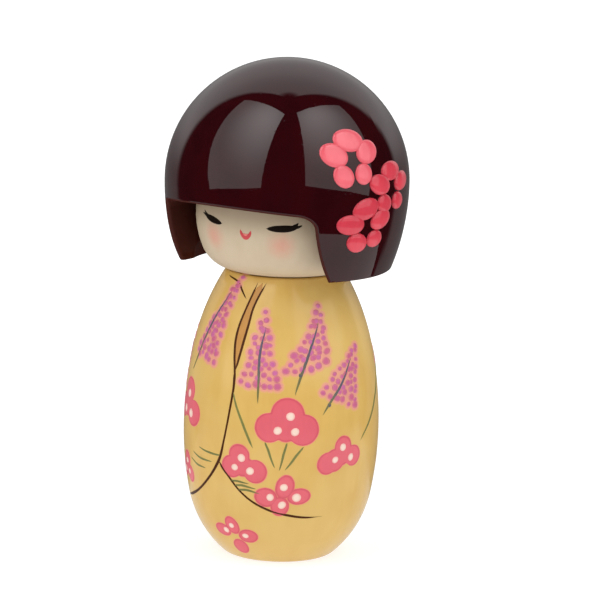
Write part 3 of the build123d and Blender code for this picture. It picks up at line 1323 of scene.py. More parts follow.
@dataclass
class KimonoPainting:
    """All that is painted on the body: collar, folds, leaves, wisteria and blossoms."""

    node: str = "kimono_body"
    brush: float = 1.08
    collar_fill: Stroke = field(default_factory=lambda: Stroke(
        ((4.75, 56.2), (4.9, 60.0), (5.35, 64.3), (6.45, 68.5), (8.3, 72.5), (11.2, 76.3),
         (15.0, 79.6)), (0.05, 0.8, 1.42, 1.5, 1.15, 0.95, 0.9), 0.03))
    ink: dict[str, Stroke] = field(default_factory=lambda: {
        "collar_line_left": Stroke(((10.5, 79.8), (7.8, 76.0), (5.2, 72.4), (2.8, 68.4),
                                    (2.1, 64.4), (3.1, 60.5), (4.6, 56.6), (4.9, 54.0)),
                                   (0.15, 0.28, 0.3, 0.33, 0.36, 0.36, 0.34, 0.2)),
        "collar_line_right": Stroke(((19.0, 79.8), (14.2, 76.4), (11.0, 72.8), (10.0, 68.7),
                                     (8.5, 64.2), (6.5, 59.3), (5.0, 56.0)),
                                    (0.15, 0.28, 0.3, 0.34, 0.36, 0.34, 0.2)),
        "lap_line": Stroke(((4.7, 58.0), (4.9, 54.0), (4.9, 50.5), (3.1, 43.2), (0.5, 36.2),
                            (-2.8, 30.7), (-10.9, 25.2), (-22.7, 20.5), (-36.0, 17.6),
                            (-52.0, 15.8)),
                           (0.3, 0.38, 0.34, 0.3, 0.3, 0.42, 0.36, 0.34, 0.4, 0.1)),
        "hem_line": Stroke(((-3.2, 30.6), (-0.5, 28.6), (3.6, 26.4), (10.7, 22.6),
                            (18.9, 19.7), (29.1, 17.6), (39.5, 16.4), (51.4, 15.5),
                            (64.0, 15.4)),
                           (0.3, 0.34, 0.3, 0.28, 0.3, 0.33, 0.36, 0.3, 0.05)),
        "under_collar_line": Stroke(((3.5, 75.0), (-3.0, 77.0), (-12.0, 79.0),
                                     (-30.0, 80.0)), (0.1, 0.26, 0.26, 0.15)),
    })
    leaves: dict[str, Stroke] = field(default_factory=lambda: {
        "lap_stem": Stroke(((4.8, 50.6), (8.2, 46.2), (13.3, 41.0), (19.4, 35.2)),
                           (0.2, 0.3, 0.36, 0.3)),
        "stem_left": Stroke(((26.2, 37.4), (28.8, 34.2), (32.2, 29.9)), (0.22, 0.32, 0.14)),
        "stem_middle": Stroke(((38.9, 37.4), (37.0, 33.6), (34.7, 29.2)),
                              (0.24, 0.32, 0.14)),
        "stem_right": Stroke(((48.6, 36.2), (43.6, 33.0), (38.0, 29.4)),
                             (0.22, 0.34, 0.14)),
        "dash_1": Stroke(((-20.5, 32.8), (-11.0, 32.0), (-1.8, 32.0)), (0.12, 0.3, 0.2)),
        "dash_2": Stroke(((-27.8, 30.8), (-18.0, 29.6), (-8.4, 29.6)), (0.12, 0.3, 0.12)),
        "dash_3": Stroke(((-31.0, 28.7), (-22.0, 27.4), (-14.4, 27.2)), (0.12, 0.3, 0.12)),
        "dash_4": Stroke(((5.2, 25.4), (10.5, 25.3), (16.9, 25.0)), (0.24, 0.28, 0.1)),
        "dash_5": Stroke(((7.6, 24.2), (14.0, 24.2), (21.4, 23.6)), (0.26, 0.32, 0.1)),
        "dash_6": Stroke(((9.6, 23.0), (16.5, 23.0), (24.1, 22.3)), (0.26, 0.32, 0.1)),
    })
    wisterias: Sequence[Wisteria] = field(default_factory=lambda: (
        Wisteria("wisteria_1", ((-14.0, 76.5), (-20.7, 70.6), (-29.3, 60.7), (-36.5, 53.0)),
                 (-9.0, 80.3), (-34.0, 59.5), (-13.5, 57.0), rows=13, most=6,
                 fanning=0.45),
        Wisteria("wisteria_2", ((23.0, 68.6), (20.9, 61.8), (20.6, 54.4), (21.4, 47.6)),
                 (20.9, 71.8), (10.3, 53.2), (33.2, 52.6)),
        Wisteria("wisteria_3", ((60.8, 69.8), (54.0, 63.0), (47.2, 56.4), (43.2, 50.2)),
                 (63.5, 73.5), (37.0, 57.2), (63.6, 58.6), bud=(46.6, 55.8)),
        Wisteria("wisteria_4", ((84.0, 59.4), (75.0, 53.6), (67.0, 48.9), (59.8, 44.6)),
                 (89.2, 62.6), (60.4, 51.4), (83.5, 46.0), bud=(64.4, 47.3)),
        Wisteria("wisteria_5", ((133.0, 60.0), (112.3, 48.2), (101.0, 42.0), (88.6, 35.8)),
                 (146.0, 69.0), (124.0, 55.0), (141.0, 48.5), green_stem=True),
        Wisteria("wisteria_6", ((163.0, 71.0), (161.0, 64.0), (163.0, 56.0), (167.0, 49.0)),
                 (164.0, 74.5), (150.0, 56.0), (178.0, 56.5)),
        Wisteria("wisteria_7", ((205.0, 69.0), (199.0, 62.5), (194.0, 56.0), (190.0, 50.5)),
                 (208.0, 73.0), (184.0, 58.0), (210.0, 57.0)),
        Wisteria("wisteria_8", ((238.0, 60.5), (231.0, 54.5), (224.0, 49.0), (217.0, 44.0)),
                 (243.0, 64.5), (213.0, 52.0), (236.0, 46.0)),
        Wisteria("wisteria_9", ((271.0, 70.0), (270.0, 63.0), (272.0, 55.5), (276.0, 48.0)),
                 (272.0, 74.0), (258.0, 55.5), (287.0, 56.5)),
        Wisteria("wisteria_10", ((304.0, 60.5), (299.0, 54.0), (294.0, 48.0), (289.0, 42.5)),
                 (308.0, 64.5), (290.0, 50.5), (309.0, 47.5), rows=7, most=4),
    ))
    blossoms: Sequence[Blossom] = field(default_factory=lambda: (
        Blossom("blossom_1", ((39.1, 45.2, 4.75), (28.3, 41.3, 4.2), (48.5, 40.7, 4.5),
                              (38.5, 41.7, 4.3)),
                ((40.6, 44.6), (33.4, 40.6), (43.4, 40.3))),
        Blossom("blossom_2", ((10.8, 33.1, 3.2), (5.8, 29.4, 3.3), (20.9, 28.6, 3.5),
                              (13.0, 30.0, 3.2)),
                ((12.3, 32.2), (8.0, 29.3), (17.6, 28.7)), dot=1.15),
        Blossom("blossom_3", ((74.4, 35.2, 3.1), (82.5, 32.2, 3.1), (63.8, 30.9, 3.3),
                              (68.6, 31.6, 3.5), (73.5, 32.4, 2.8)),
                ((74.0, 35.0), (80.4, 31.8), (68.8, 31.7)), dot=1.1),
        Blossom("blossom_4", ((38.4, 24.6, 3.2), (27.2, 21.4, 3.2), (47.0, 21.8, 3.0),
                              (35.6, 18.9, 2.9)),
                ((37.8, 24.5), (29.7, 21.5), (45.6, 21.5), (36.9, 19.3)), merged=False),
        Blossom("blossom_5", ((2.6, 11.7, 2.7), (-6.6, 9.7, 2.6), (13.6, 8.9, 2.8),
                              (4.6, 5.0, 2.8)),
                ((2.1, 11.6), (-3.5, 9.8), (11.5, 8.9)), merged=False, dot=1.0),
        Blossom("blossom_6", ((-36.5, 47.4, 3.8), (-45.0, 42.5, 3.6), (-28.0, 41.4, 3.8),
                              (-36.5, 43.2, 3.4)),
                ((-36.4, 46.4), (-41.0, 41.8), (-31.6, 41.2))),
        Blossom("blossom_7", ((-38.0, 27.6, 2.6), (-45.0, 24.2, 2.6), (-33.4, 23.6, 2.5),
                              (-39.0, 25.0, 2.2)),
                ((-38.2, 27.0), (-42.8, 24.3), (-35.4, 24.1)), dot=0.95),
        Blossom("blossom_8", ((140.0, 31.0, 3.9), (131.0, 26.5, 3.7), (149.0, 26.0, 3.9),
                              (140.0, 28.0, 3.4)),
                ((140.5, 29.8), (135.0, 26.2), (145.0, 26.0))),
        Blossom("blossom_9", ((165.0, 42.5, 4.3), (155.5, 38.0, 4.1), (174.5, 37.5, 4.2),
                              (165.0, 39.0, 3.8)),
                ((165.5, 41.4), (160.5, 37.4), (169.8, 37.3))),
        Blossom("blossom_10", ((186.0, 26.5, 2.9), (175.0, 22.8, 2.8), (196.5, 22.6, 2.9),
                               (185.0, 19.6, 2.7)),
                ((185.5, 26.1), (178.0, 22.8), (193.5, 22.5), (185.8, 20.0)), merged=False),
        Blossom("blossom_11", ((213.0, 38.0, 3.4), (205.0, 33.8, 3.3), (222.0, 34.0, 3.5),
                               (213.0, 34.8, 3.0)),
                ((213.4, 37.2), (208.5, 33.6), (218.0, 33.6)), dot=1.15),
        Blossom("blossom_12", ((257.0, 42.0, 4.2), (247.5, 37.5, 4.0), (266.5, 37.2, 4.2),
                               (257.0, 38.6, 3.8)),
                ((257.5, 41.0), (252.3, 37.0), (262.0, 37.0))),
        Blossom("blossom_13", ((288.0, 27.5, 3.0), (280.0, 23.6, 2.9), (297.0, 23.6, 3.1),
                               (288.0, 24.6, 2.7)),
                ((288.2, 26.8), (283.3, 23.4), (292.8, 23.4)), dot=1.0),
        Blossom("blossom_14", ((146.0, 14.6, 2.6), (132.5, 12.0, 2.4), (158.0, 11.0, 2.6),
                               (145.0, 8.0, 2.4)),
                ((145.6, 14.0), (137.0, 12.0), (154.5, 11.0)), merged=False, dot=1.0),
        Blossom("blossom_15", ((240.0, 15.0, 2.6), (227.0, 12.4, 2.4), (252.0, 11.6, 2.6),
                               (240.0, 8.6, 2.4)),
                ((239.6, 14.4), (231.0, 12.4), (248.5, 11.6)), merged=False, dot=1.0),
    ))

    def paint_all(self, finishes: dict[Slot, bpy.types.Material],
                  stem_paint: bpy.types.Material, wash_paint: bpy.types.Material) -> None:
        """Lay every motif in the order that a painter would.

        Args:
            finishes: the material of each slot.
            stem_paint: the slate paint of the wisteria stems.
            wash_paint: the thin pink under the wisteria dots.
        """
        skin = TurnedSkin(self.node)
        chance = random.Random(11)
        self._collar(skin, chance, finishes)
        for wisteria in self.wisterias:
            thin, full = wisteria.dots(skin, chance)
            thin.piece(wisteria.name + "_wash", Body.TORSO, Slot.WISTERIA, wash_paint)
            full.piece(wisteria.name + "_dots", Body.TORSO, Slot.WISTERIA,
                       finishes[Slot.WISTERIA])
            stem_finish = finishes[Slot.LEAF] if wisteria.green_stem else stem_paint
            wisteria.twig(skin, chance).piece(wisteria.name + "_stem", Body.TORSO, Slot.LEAF,
                                              stem_finish)
        for name, stroke in self.leaves.items():
            self._stroke(skin, chance, name, stroke, Slot.LEAF, finishes)
        for blossom in self.blossoms:
            blossom.petals(skin, chance).piece(blossom.name + "_petals", Body.TORSO,
                                               Slot.PINK, finishes[Slot.PINK])
            blossom.hearts(skin, chance).piece(blossom.name + "_hearts", Body.TORSO,
                                               Slot.WHITE, finishes[Slot.WHITE])
        for name, stroke in self.ink.items():
            self._stroke(skin, chance, name, stroke, Slot.INK, finishes)

    def _stroke(self, skin: TurnedSkin, chance: random.Random, name: str, stroke: Stroke,
                slot: Slot, finishes: dict[Slot, bpy.types.Material]) -> None:
        """Lay one free stroke as its own piece.

        Args:
            skin: the body's skin.
            chance: the seeded source of irregularities.
            name: the piece's name.
            stroke: the stroke.
            slot: its material slot.
            finishes: the material of each slot.
        """
        touches = Touches(skin, chance)
        touches.stroke(stroke.knots, [width * self.brush for width in stroke.widths],
                       stroke.lift, steps=12 * len(stroke.knots), wobble=0.05)
        touches.piece(name, Body.TORSO, slot, finishes[slot])

    def _collar(self, skin: TurnedSkin, chance: random.Random,
                finishes: dict[Slot, bpy.types.Material]) -> None:
        """Lay the ochre of the collar down the front.

        Args:
            skin: the body's skin.
            chance: the seeded source of irregularities.
            finishes: the material of each slot.
        """
        touches = Touches(skin, chance)
        touches.stroke(self.collar_fill.knots, self.collar_fill.widths, 0.03, steps=60,
                       sides=14)
        touches.piece("collar_front", Body.TORSO, Slot.OCHRE, finishes[Slot.OCHRE])


# ---- face -----------------------------------------------------------------------------


@dataclass
class Face:
    """The painted face: closed smiling eyes with lashes, a small mouth, and blush."""

    node: str = "head"
    left_eye: Stroke = field(default_factory=lambda: Stroke(
        ((-8.6, 96.15), (-12.5, 96.4), (-17.0, 96.75), (-21.5, 97.1), (-26.5, 97.6)),
        (0.2, 0.75, 0.98, 0.85, 0.35), 0.05))
    right_eye: Stroke = field(default_factory=lambda: Stroke(
        ((22.8, 96.15), (27.5, 96.2), (32.5, 96.25), (37.5, 96.4), (43.0, 96.75)),
        (0.2, 0.8, 1.0, 0.92, 0.4), 0.05))
    lashes: dict[str, Stroke] = field(default_factory=lambda: {
        "left_lash_high": Stroke(((-23.5, 97.6), (-26.2, 98.1), (-28.0, 98.8)),
                                 (0.42, 0.34, 0.1)),
        "left_lash_low": Stroke(((-24.0, 97.3), (-27.0, 97.7), (-29.8, 98.0)),
                                (0.4, 0.3, 0.1)),
        "right_lash_high": Stroke(((39.5, 96.9), (41.6, 97.3), (43.0, 98.0)),
                                  (0.5, 0.42, 0.12)),
        "right_lash_low": Stroke(((40.5, 96.6), (43.2, 96.9), (45.4, 97.3)),
                                 (0.5, 0.36, 0.12)),
    })
    lips: Stroke = field(default_factory=lambda: Stroke(
        ((5.6, 95.4), (6.8, 94.0), (9.3, 93.15), (11.9, 93.95), (13.1, 95.3)),
        (0.2, 0.5, 0.62, 0.5, 0.2), 0.06))
    # Painted highlight: a stroke of paler pink laid in the middle of the mouth.
    lip_highlight: Stroke = field(default_factory=lambda: Stroke(
        ((7.6, 94.35), (9.3, 93.95), (11.1, 94.3)), (0.14, 0.34, 0.14), 0.09))
    left_cheek: Spot = (-17.4, 92.2)
    right_cheek: Spot = (32.7, 91.45)

    def cheeks(self) -> tuple[Vector, Vector]:
        """Return the places of the two cheeks."""
        skin = TurnedSkin(self.node)
        return skin.point(*self.left_cheek), skin.point(*self.right_cheek)

    def paint_all(self, finishes: dict[Slot, bpy.types.Material],
                  eye_ink: bpy.types.Material, lip_highlight: bpy.types.Material) -> None:
        """Lay the eyes, the lashes and the mouth.

        Args:
            finishes: the material of each slot.
            eye_ink: the darker ink of the eyes.
            lip_highlight: the paler paint of the painted highlight in the middle of the mouth.
        """
        skin = TurnedSkin(self.node)
        chance = random.Random(5)
        strokes = {"left_eye": self.left_eye, "right_eye": self.right_eye, **self.lashes}
        for name, stroke in strokes.items():
            self._stroke(skin, chance, name, stroke, Slot.INK, eye_ink)
        self._stroke(skin, chance, "mouth", self.lips, Slot.LIP, finishes[Slot.LIP])
        self._stroke(skin, chance, "mouth_highlight", self.lip_highlight, Slot.LIP, lip_highlight)

    @staticmethod
    def _stroke(skin: TurnedSkin, chance: random.Random, name: str, stroke: Stroke,
                slot: Slot, finish: bpy.types.Material) -> None:
        """Lay one stroke of the face as its own piece.

        Args:
            skin: the head's skin.
            chance: the seeded source of irregularities.
            name: the piece's name.
            stroke: the stroke.
            slot: its material slot.
            finish: its material.
        """
        touches = Touches(skin, chance)
        touches.stroke(stroke.knots, stroke.widths, stroke.lift, steps=36, sides=14)
        touches.piece(name, Body.HEAD, slot, finish)


# ---- blossoms on the hair -------------------------------------------------------------


@dataclass
class HairBlossoms:
    """Three raised five-petal blossoms on the left of the hair."""

    node: str = "hair"
    names: Sequence[str] = ("upper", "side", "lower")
    # The upper blossom gets the paler enamel, partly painted light where the lamps fall on it.
    lit_name: str = "upper"
    petal_count: int = 5
    half_sizes: Sequence[tuple[float, float]] = (
        (4.5, 3.2), (3.3, 4.4), (3.35, 3.0), (2.9, 2.9), (3.1, 3.9))
    pulls: Sequence[float] = (1.0, 1.0, 0.92, 0.88, 1.0)
    squashes: Sequence[float] = (1.0, 0.84, 0.9)
    drops: Sequence[float] = (0.0, -0.7, 0.0)
    height: float = 1.0
    sink: float = 0.5
    fullness: float = 2.4

    def build(self, enamel: bpy.types.Material, lit_enamel: bpy.types.Material) -> None:
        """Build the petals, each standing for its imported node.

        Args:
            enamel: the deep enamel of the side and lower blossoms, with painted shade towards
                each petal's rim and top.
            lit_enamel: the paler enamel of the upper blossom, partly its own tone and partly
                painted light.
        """
        skin = TurnedSkin(self.node)
        chance = random.Random(23)
        for name, squash, drop in zip(self.names, self.squashes, self.drops):
            finish = lit_enamel if name == self.lit_name else enamel
            nodes = [f"{name}_blossom_petal_{n + 1}" for n in range(self.petal_count)]
            spots = [self._spot(skin, node) for node in nodes]
            middle = (sum(s[0] for s in spots) / len(spots),
                      sum(s[1] for s in spots) / len(spots))
            for node, spot, sizes, pull in zip(nodes, spots, self.half_sizes, self.pulls):
                x, y = skin.spread(middle, spot)
                place = skin.shifted(middle, x * pull, y * pull * between(1, squash, 0.6)
                                     + drop)
                self._petal(skin, chance, node, place, math.degrees(math.atan2(y, x)),
                            sizes, squash, finish)

    @staticmethod
    def _spot(skin: TurnedSkin, node: str) -> Spot:
        """Return the spot under the middle of a packed petal."""
        low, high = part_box(node)
        return skin.spot((Vector(low) + Vector(high)) / 2)

    def _petal(self, skin: TurnedSkin, chance: random.Random, node: str, spot: Spot,
               lean: float, sizes: tuple[float, float], squash: float,
               finish: bpy.types.Material) -> None:
        """Build one petal.

        Args:
            skin: the hair's skin.
            chance: the seeded source of irregularities.
            node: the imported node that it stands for.
            spot: its place.
            lean: the direction in which it points away from its blossom's middle.
            sizes: half its width and half its length, in millimetres.
            squash: how much lower than wide the whole blossom is.
            finish: the enamel.
        """
        touches = Touches(skin, chance)
        phase = chance.uniform(0, math.tau)

        def outline(turn: float) -> float:
            """Return the petal's slightly uneven outline."""
            return 1 + 0.03 * math.sin(2 * turn + phase) + 0.04 * math.cos(turn)

        wide, long = sizes
        touches.patch(spot, outline, long * chance.uniform(0.96, 1.04),
                      wide * chance.uniform(0.96, 1.04), lean + chance.uniform(-6, 6),
                      self.height * chance.uniform(0.9, 1.05), self.sink, 48, 28,
                      self.fullness, squash=squash)
        piece = touches.piece(node.replace("_blossom_", "_"), Body.HEAD, Slot.PETAL, finish)
        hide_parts(node)


# ---- studio ---------------------------------------------------------------------------


@dataclass
class Softbox:
    """A soft light, placed by its direction from the doll's head and then turned.

    The turns, in degrees, are about its own upright, level and facing axes.
    """

    name: str
    azimuth: float
    elevation: float
    width: float
    height: float
    radiance: float
    yaw: float = 0.0
    pitch: float = 0.0
    roll: float = 0.0
    distance: float = 0.95
    hot_spot: Spot = (0.5, 0.5)
    hot_strength: float = 1.8
    rim_strength: float = 0.6
    hot_reach: float = 0.7

    def place(self, target: Vector) -> None:
        """Put the light in the scene, around a target.

        Args:
            target: the point that the light faces.
        """
        turn, rise = math.radians(self.azimuth), math.radians(self.elevation)
        out = Vector((math.sin(turn) * math.cos(rise), -math.cos(turn) * math.cos(rise),
                      math.sin(rise)))
        side = Vector((math.cos(turn), math.sin(turn), 0.0))
        up = out.cross(side)
        light = bpy.data.lights.new(self.name, "AREA")
        light.shape = "RECTANGLE"
        light.size, light.size_y = self.width, self.height
        light.energy = self.radiance * math.pi * self.width * self.height
        self._cloth(light)
        item = bpy.data.objects.new(self.name, light)
        turned = Matrix((side, up, out)).transposed().to_4x4()
        for angle, axis in ((self.roll, "Z"), (self.pitch, "X"), (self.yaw, "Y")):
            turned = turned @ Matrix.Rotation(math.radians(angle), 4, axis)
        item.matrix_world = Matrix.Translation(target + out * self.distance) @ turned
        item.visible_camera = False
        bpy.context.scene.collection.objects.link(item)

    def _cloth(self, light: bpy.types.Light) -> None:
        """Make the cloth brighter in front of its lamp than at its rim.

        Args:
            light: the light whose nodes are laid out.
        """
        light.use_nodes = True
        bench = NodeBench(light.node_tree)
        output = bench.add("ShaderNodeOutputLight")
        glow = bench.add("ShaderNodeEmission")
        bench.feed(output.inputs["Surface"], glow.outputs[0])
        spread = bench.add("ShaderNodeNewGeometry").outputs["Parametric"]
        away = bench.distance(spread, (*self.hot_spot, 0.0))
        bench.feed(glow.inputs["Strength"], bench.ease(away, 0.0, self.hot_reach,
                                                       self.hot_strength, self.rim_strength))


@dataclass
class Studio:
    """Pale floor, two softboxes, a white back wall in the world, and the camera."""

    camera_azimuth: float = 35.0
    camera_elevation: float = 11.04
    camera_distance: float = 0.9
    camera_height: float = 0.0719
    camera_slide: float = 0.00443
    head_height: float = 0.106
    camera_roll: float = 1.458
    lens: float = 192.7
    floor_size: float = 6.0
    lit_radius: float = 0.22
    floor_glow: float = 0.74
    paper_radius: float = 0.235
    paper_back: float = 0.05
    wall_radiance: float = 1.0
    far_wall_share: float = 0.6
    low_wall_share: float = 0.27
    dark_radiance: float = 0.02
    paper_glow: float = 0.5
    paper_height: float = -0.0002
    glow_reach: Spot = (0.4, 2.0)
    wall_edge: Spot = (0.5, 0.62)
    wall_top: Spot = (0.999, 0.985)
    wall_middle: Spot = (0.55, 0.98)
    wall_foot: Spot = (-0.1, 0.3)

    def build(self) -> None:
        """Put the whole studio in the scene."""
        target = Vector((0.0, 0.0, self.camera_height))
        for box in (
            Softbox("left_softbox", self.camera_azimuth - 57.4, 42.7, 0.98, 1.53, 1.75,
                    3.2, 19.4, 10.5, hot_spot=(0.74, 0.74)),
            Softbox("right_softbox", self.camera_azimuth + 63.1, 46.3, 1.05, 1.51, 1.6,
                    -6.6, 34.0, -16.2, hot_spot=(0.3, 0.74)),
        ):
            box.place(Vector((0.0, 0.0, self.head_height)))
        self._floor()
        self._world()
        self._camera(target)
        bpy.context.scene.view_settings.view_transform = "Standard"

    def _camera(self, target: Vector) -> None:
        """Set up the camera.

        Args:
            target: the point that the camera looks at.
        """
        turn, rise = math.radians(self.camera_azimuth), math.radians(self.camera_elevation)
        back = Vector((math.sin(turn) * math.cos(rise), -math.cos(turn) * math.cos(rise),
                       math.sin(rise)))
        right = Vector((math.cos(turn), math.sin(turn), 0.0))
        up = back.cross(right)
        data = bpy.data.cameras.new("camera")
        data.lens = self.lens
        data.sensor_width = 36.0
        data.clip_start = 0.01
        item = bpy.data.objects.new("camera", data)
        place = target + right * self.camera_slide + back * self.camera_distance
        item.matrix_world = (Matrix.Translation(place)
                             @ Matrix((right, up, back)).transposed().to_4x4()
                             @ Matrix.Rotation(math.radians(self.camera_roll), 4, "Z"))
        bpy.context.scene.collection.objects.link(item)
        bpy.context.scene.camera = item

    def _floor(self) -> None:
        """Lay the floor, and the paper under the doll that its gloss reflects."""
        work = bmesh.new()
        bmesh.ops.create_grid(work, x_segments=1, y_segments=1, size=self.floor_size / 2)
        floor = self._stage(work, "floor", 0.0,
                            self._paper("floor_paper", self.floor_glow, 1.0))
        floor.visible_glossy = False
        paper = self._near_paper(self._paper("near_paper", self.paper_glow,
                                             self.paper_glow))
        paper.visible_camera = paper.visible_diffuse = paper.visible_shadow = False

    def _paper(self, name: str, near: float, far: float) -> bpy.types.Material:
        """Make white paper that glows a little near the doll and more far away.

        Args:
            name: the material's name.
            near: its glow near the doll.
            far: its glow far away.

        Returns:
            The paper's material.
        """
        bench = FinishBench(name, Gloss(0.9, 0.0, 0.3))
        tone = bench.blend(bench.math("MULTIPLY", bench.noise(bench.place, 900.0, 3.0), 0.2),
                           paint(172, 172, 172), paint(166, 166, 165))
        away = bench.distance(bench.place, (0.0, 0.0, 0.0))
        bench.shader.inputs["Emission Color"].default_value = (1.0, 1.0, 1.0, 1.0)
        start, end = (share * self.lit_radius for share in self.glow_reach)
        bench.feed(bench.shader.inputs["Emission Strength"],
                   bench.ease(away, start, end, near, far))
        return bench.finish(tone, None, bench.noise(bench.place, 2500.0, 2.0), 0.01 * MM)

    def _near_paper(self, finish: bpy.types.Material) -> bpy.types.Object:
        """Lay the round paper in front of the doll that its gloss reflects.

        Args:
            finish: the paper's material.

        Returns:
            The paper.
        """
        work = bmesh.new()
        bmesh.ops.create_circle(work, cap_ends=True, segments=64, radius=self.paper_radius)
        cut = bmesh.ops.bisect_plane(
            work, geom=work.verts[:] + work.edges[:] + work.faces[:],
            plane_co=(0.0, self.paper_back, 0.0), plane_no=(0.0, 1.0, 0.0),
            clear_outer=True)
        log.info("near paper cut at %d places", len(cut["geom_cut"]))
        return self._stage(work, "near_paper", self.paper_height, finish)

    def _stage(self, work: bmesh.types.BMesh, name: str, height: float,
               finish: bpy.types.Material) -> bpy.types.Object:
        """Turn a flat shape to face the camera and put it on the stage.

        Args:
            work: the flat shape.
            name: the object's name.
            height: its height in metres.
            finish: its material.

        Returns:
            The new object.
        """
        turn = Matrix.Rotation(math.radians(self.camera_azimuth), 4, "Z")
        bmesh.ops.transform(work, matrix=turn @ Matrix.Translation((0.0, 0.0, height)),
                            verts=work.verts)
        mesh = bpy.data.meshes.new(name)
        work.to_mesh(mesh)
        work.free()
        mesh.materials.append(finish)
        item = bpy.data.objects.new(name, mesh)
        bpy.context.scene.collection.objects.link(item)
        return item

    def _world(self) -> None:
        """Give the world a white back wall, a dark front and a white look to the eye."""
        world = bpy.data.worlds.new("studio")
        world.use_nodes = True
        bpy.context.scene.world = world
        bench = NodeBench(world.node_tree)
        output = bench.add("ShaderNodeOutputWorld")
        background = bench.add("ShaderNodeBackground")
        bench.feed(output.inputs["Surface"], background.outputs[0])
        ray = bench.add("ShaderNodeTexCoord").outputs["Generated"]
        x, y, z = bench.split(ray)
        turn = math.radians(self.camera_azimuth)
        level = bench.from_axis(x, y)
        away = bench.math("ADD", bench.math("MULTIPLY", x, -math.sin(turn)),
                          bench.math("MULTIPLY", y, math.cos(turn)))
        away = bench.math("DIVIDE", away, bench.math("MAXIMUM", level, 0.001))
        wall = bench.ease(away, *self.wall_edge)
        over = bench.ease(z, *self.wall_top)
        straight = bench.ease(bench.math("MULTIPLY", away, level), *self.wall_middle, 1.0,
                              self.far_wall_share)
        low = bench.ease(z, *self.wall_foot, self.low_wall_share, 1.0)
        straight = bench.math("MULTIPLY", straight, low)
        mask = bench.math("MULTIPLY", bench.math("MULTIPLY", wall, over), straight)
        glow = bench.math("MULTIPLY_ADD", mask, self.wall_radiance - self.dark_radiance,
                          self.dark_radiance)
        seen = bench.add("ShaderNodeLightPath").outputs["Is Camera Ray"]
        unseen = bench.math("SUBTRACT", 1.0, seen)
        strength = bench.math("MULTIPLY_ADD", unseen, glow, seen)
        background.inputs["Color"].default_value = (1.0, 1.0, 1.0, 1.0)
        bench.feed(background.inputs["Strength"], strength)


# ---- the doll -------------------------------------------------------------------------


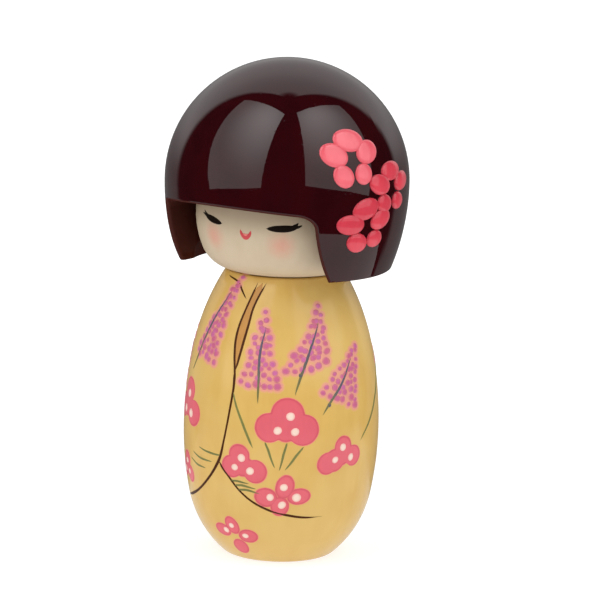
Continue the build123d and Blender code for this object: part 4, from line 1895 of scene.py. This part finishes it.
@dataclass
class Doll:
    """The doll's finishes and all its painted and raised decoration."""

    face: Face = field(default_factory=Face)
    kimono: KimonoPainting = field(default_factory=KimonoPainting)
    blossoms: HairBlossoms = field(default_factory=HairBlossoms)

    def build(self) -> None:
        """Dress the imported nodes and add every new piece."""
        effects = Effects()
        left_cheek, right_cheek = self.face.cheeks()
        wood = BareWood().make(effects)
        self._dress("kimono_body", KimonoPaint().make(effects))
        self._dress("hair", HairLacquer().make(effects))
        self._dress("head", SkinPaint(left_cheek=left_cheek,
                                      right_cheek=right_cheek).make(effects))
        self._dress("neck_peg", wood)
        self._dress("hair_peg", wood)
        finishes = self._motif_paints(effects)
        # Paler pink of the painted highlight in the middle of the mouth.
        lip_highlight = MotifPaint("lip_highlight", paint(232, 132, 122), paint(220, 110, 104),
                               paint(236, 142, 130), paint(232, 132, 122)).make(effects)
        stem_paint = MotifPaint("wisteria_stem", paint(100, 92, 112), paint(134, 118, 124),
                                paint(92, 90, 98), paint(124, 124, 70), rim_start=0.6,
                                rim_strength=0.5, end_strength=1.0, streaks=0.2,
                                streak_colour=paint(84, 80, 92)).make(effects)
        wash_paint = MotifPaint("wisteria_wash", paint(234, 160, 140), paint(225, 184, 104),
                                paint(230, 152, 142), paint(234, 160, 140),
                                rim_start=0.6, rim_strength=1.0, streaks=0.15,
                                streak_colour=paint(224, 150, 130)).make(effects)
        self.kimono.paint_all(finishes, stem_paint, wash_paint)
        eye_ink = MotifPaint("eye_ink", paint(26, 17, 12), paint(48, 32, 22),
                             paint(22, 14, 10), paint(30, 20, 14), rim_start=0.7,
                             rim_strength=0.5, streaks=0.15, streak_colour=paint(40, 26, 18),
                             gloss=Gloss(0.4, 0.3, 0.15)).make(effects)
        self.face.paint_all(finishes, eye_ink, lip_highlight)
        # Paler enamel of the upper blossom: partly its own tone, partly painted light; it
        # deepens towards each petal's rim and top as painted shade.
        lit_enamel = MotifPaint("lit_enamel", paint(244, 116, 126), paint(222, 80, 94),
                                 paint(236, 100, 112), paint(222, 80, 94), rim_start=0.7,
                                 rim_strength=0.4, shade_strength=0.5, end_strength=0.6,
                                 streaks=0.14, streak_colour=paint(214, 72, 88),
                                 gloss=ENAMEL_GLOSS, relief=0.02).make(effects)
        self.blossoms.build(finishes[Slot.PETAL], lit_enamel)

    @staticmethod
    def _dress(node: str, finish: bpy.types.Material) -> None:
        """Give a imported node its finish.

        Args:
            node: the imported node's name.
            finish: its material.
        """
        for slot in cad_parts[node].material_slots:
            slot.material = finish
        log.info("%s: dressed in %s", node, finish.name)

    @staticmethod
    def _motif_paints(effects: Effects) -> dict[Slot, bpy.types.Material]:
        """Mix the paint of each motif.

        Args:
            effects: the shared effects.

        Returns:
            The material of each slot.
        """
        ink_gloss = Gloss(0.42, 0.15, 0.15)
        recipes = {
            # Petal enamel deepens towards each petal's rim and its upper end: painted shade on
            # the dome's sides and top.
            Slot.PETAL: MotifPaint("petal_enamel", paint(226, 74, 88), paint(196, 50, 66),
                                   paint(206, 58, 74), paint(204, 56, 72), rim_start=0.7,
                                   rim_strength=0.45, shade_strength=0.7, end_strength=0.5,
                                   streaks=0.16, streak_colour=paint(186, 46, 62),
                                   gloss=ENAMEL_GLOSS, relief=0.02),
            Slot.PINK: MotifPaint("motif_pink", paint(232, 108, 120), paint(240, 150, 130),
                                  paint(224, 98, 112), paint(236, 124, 128),
                                  paint(214, 84, 98), rim_start=0.62,
                                  rim_strength=0.9, streaks=0.14,
                                  streak_colour=paint(204, 84, 98)),
            Slot.WHITE: MotifPaint("motif_white", paint(250, 226, 208), paint(244, 180, 172),
                                   paint(246, 214, 200), paint(250, 226, 208),
                                   rim_start=0.42, rim_strength=0.9, streaks=0.1,
                                   streak_colour=paint(230, 190, 170)),
            Slot.WISTERIA: MotifPaint("wisteria_paint", paint(206, 104, 136),
                                      paint(226, 146, 136), paint(206, 112, 170),
                                      paint(204, 116, 160), rim_start=0.42,
                                      rim_strength=0.85, shade_strength=0.8, streaks=0.12,
                                      streak_colour=paint(168, 88, 130)),
            Slot.LEAF: MotifPaint("leaf_green", paint(132, 132, 72), paint(172, 162, 92),
                                  paint(110, 114, 66), paint(132, 132, 72),
                                  rim_start=0.6, rim_strength=0.6, streaks=0.22,
                                  streak_colour=paint(88, 90, 52)),
            Slot.INK: MotifPaint("ink_line", paint(80, 44, 20), paint(120, 74, 36),
                                 paint(64, 34, 14), paint(84, 46, 20), rim_start=0.55,
                                 rim_strength=0.6, streaks=0.2,
                                 streak_colour=paint(76, 38, 16), gloss=ink_gloss),
            Slot.OCHRE: MotifPaint("collar_ochre", paint(200, 142, 70), paint(176, 112, 44),
                                   paint(206, 150, 80), paint(190, 128, 56),
                                   rim_strength=0.5, streaks=0.2,
                                   streak_colour=paint(168, 108, 46)),
            Slot.LIP: MotifPaint("lip_red", paint(206, 78, 82), paint(196, 92, 84),
                                 paint(200, 72, 76), paint(206, 78, 82), streaks=0.1,
                                 streak_colour=paint(180, 60, 64)),
        }
        return {slot: recipe.make(effects) for slot, recipe in recipes.items()}


def main() -> None:
    """Build the studio and the doll."""
    logging.basicConfig(level=logging.INFO, format="%(name)s %(message)s")
    Studio().build()
    Doll().build()


if __name__ == "__main__":
    main()
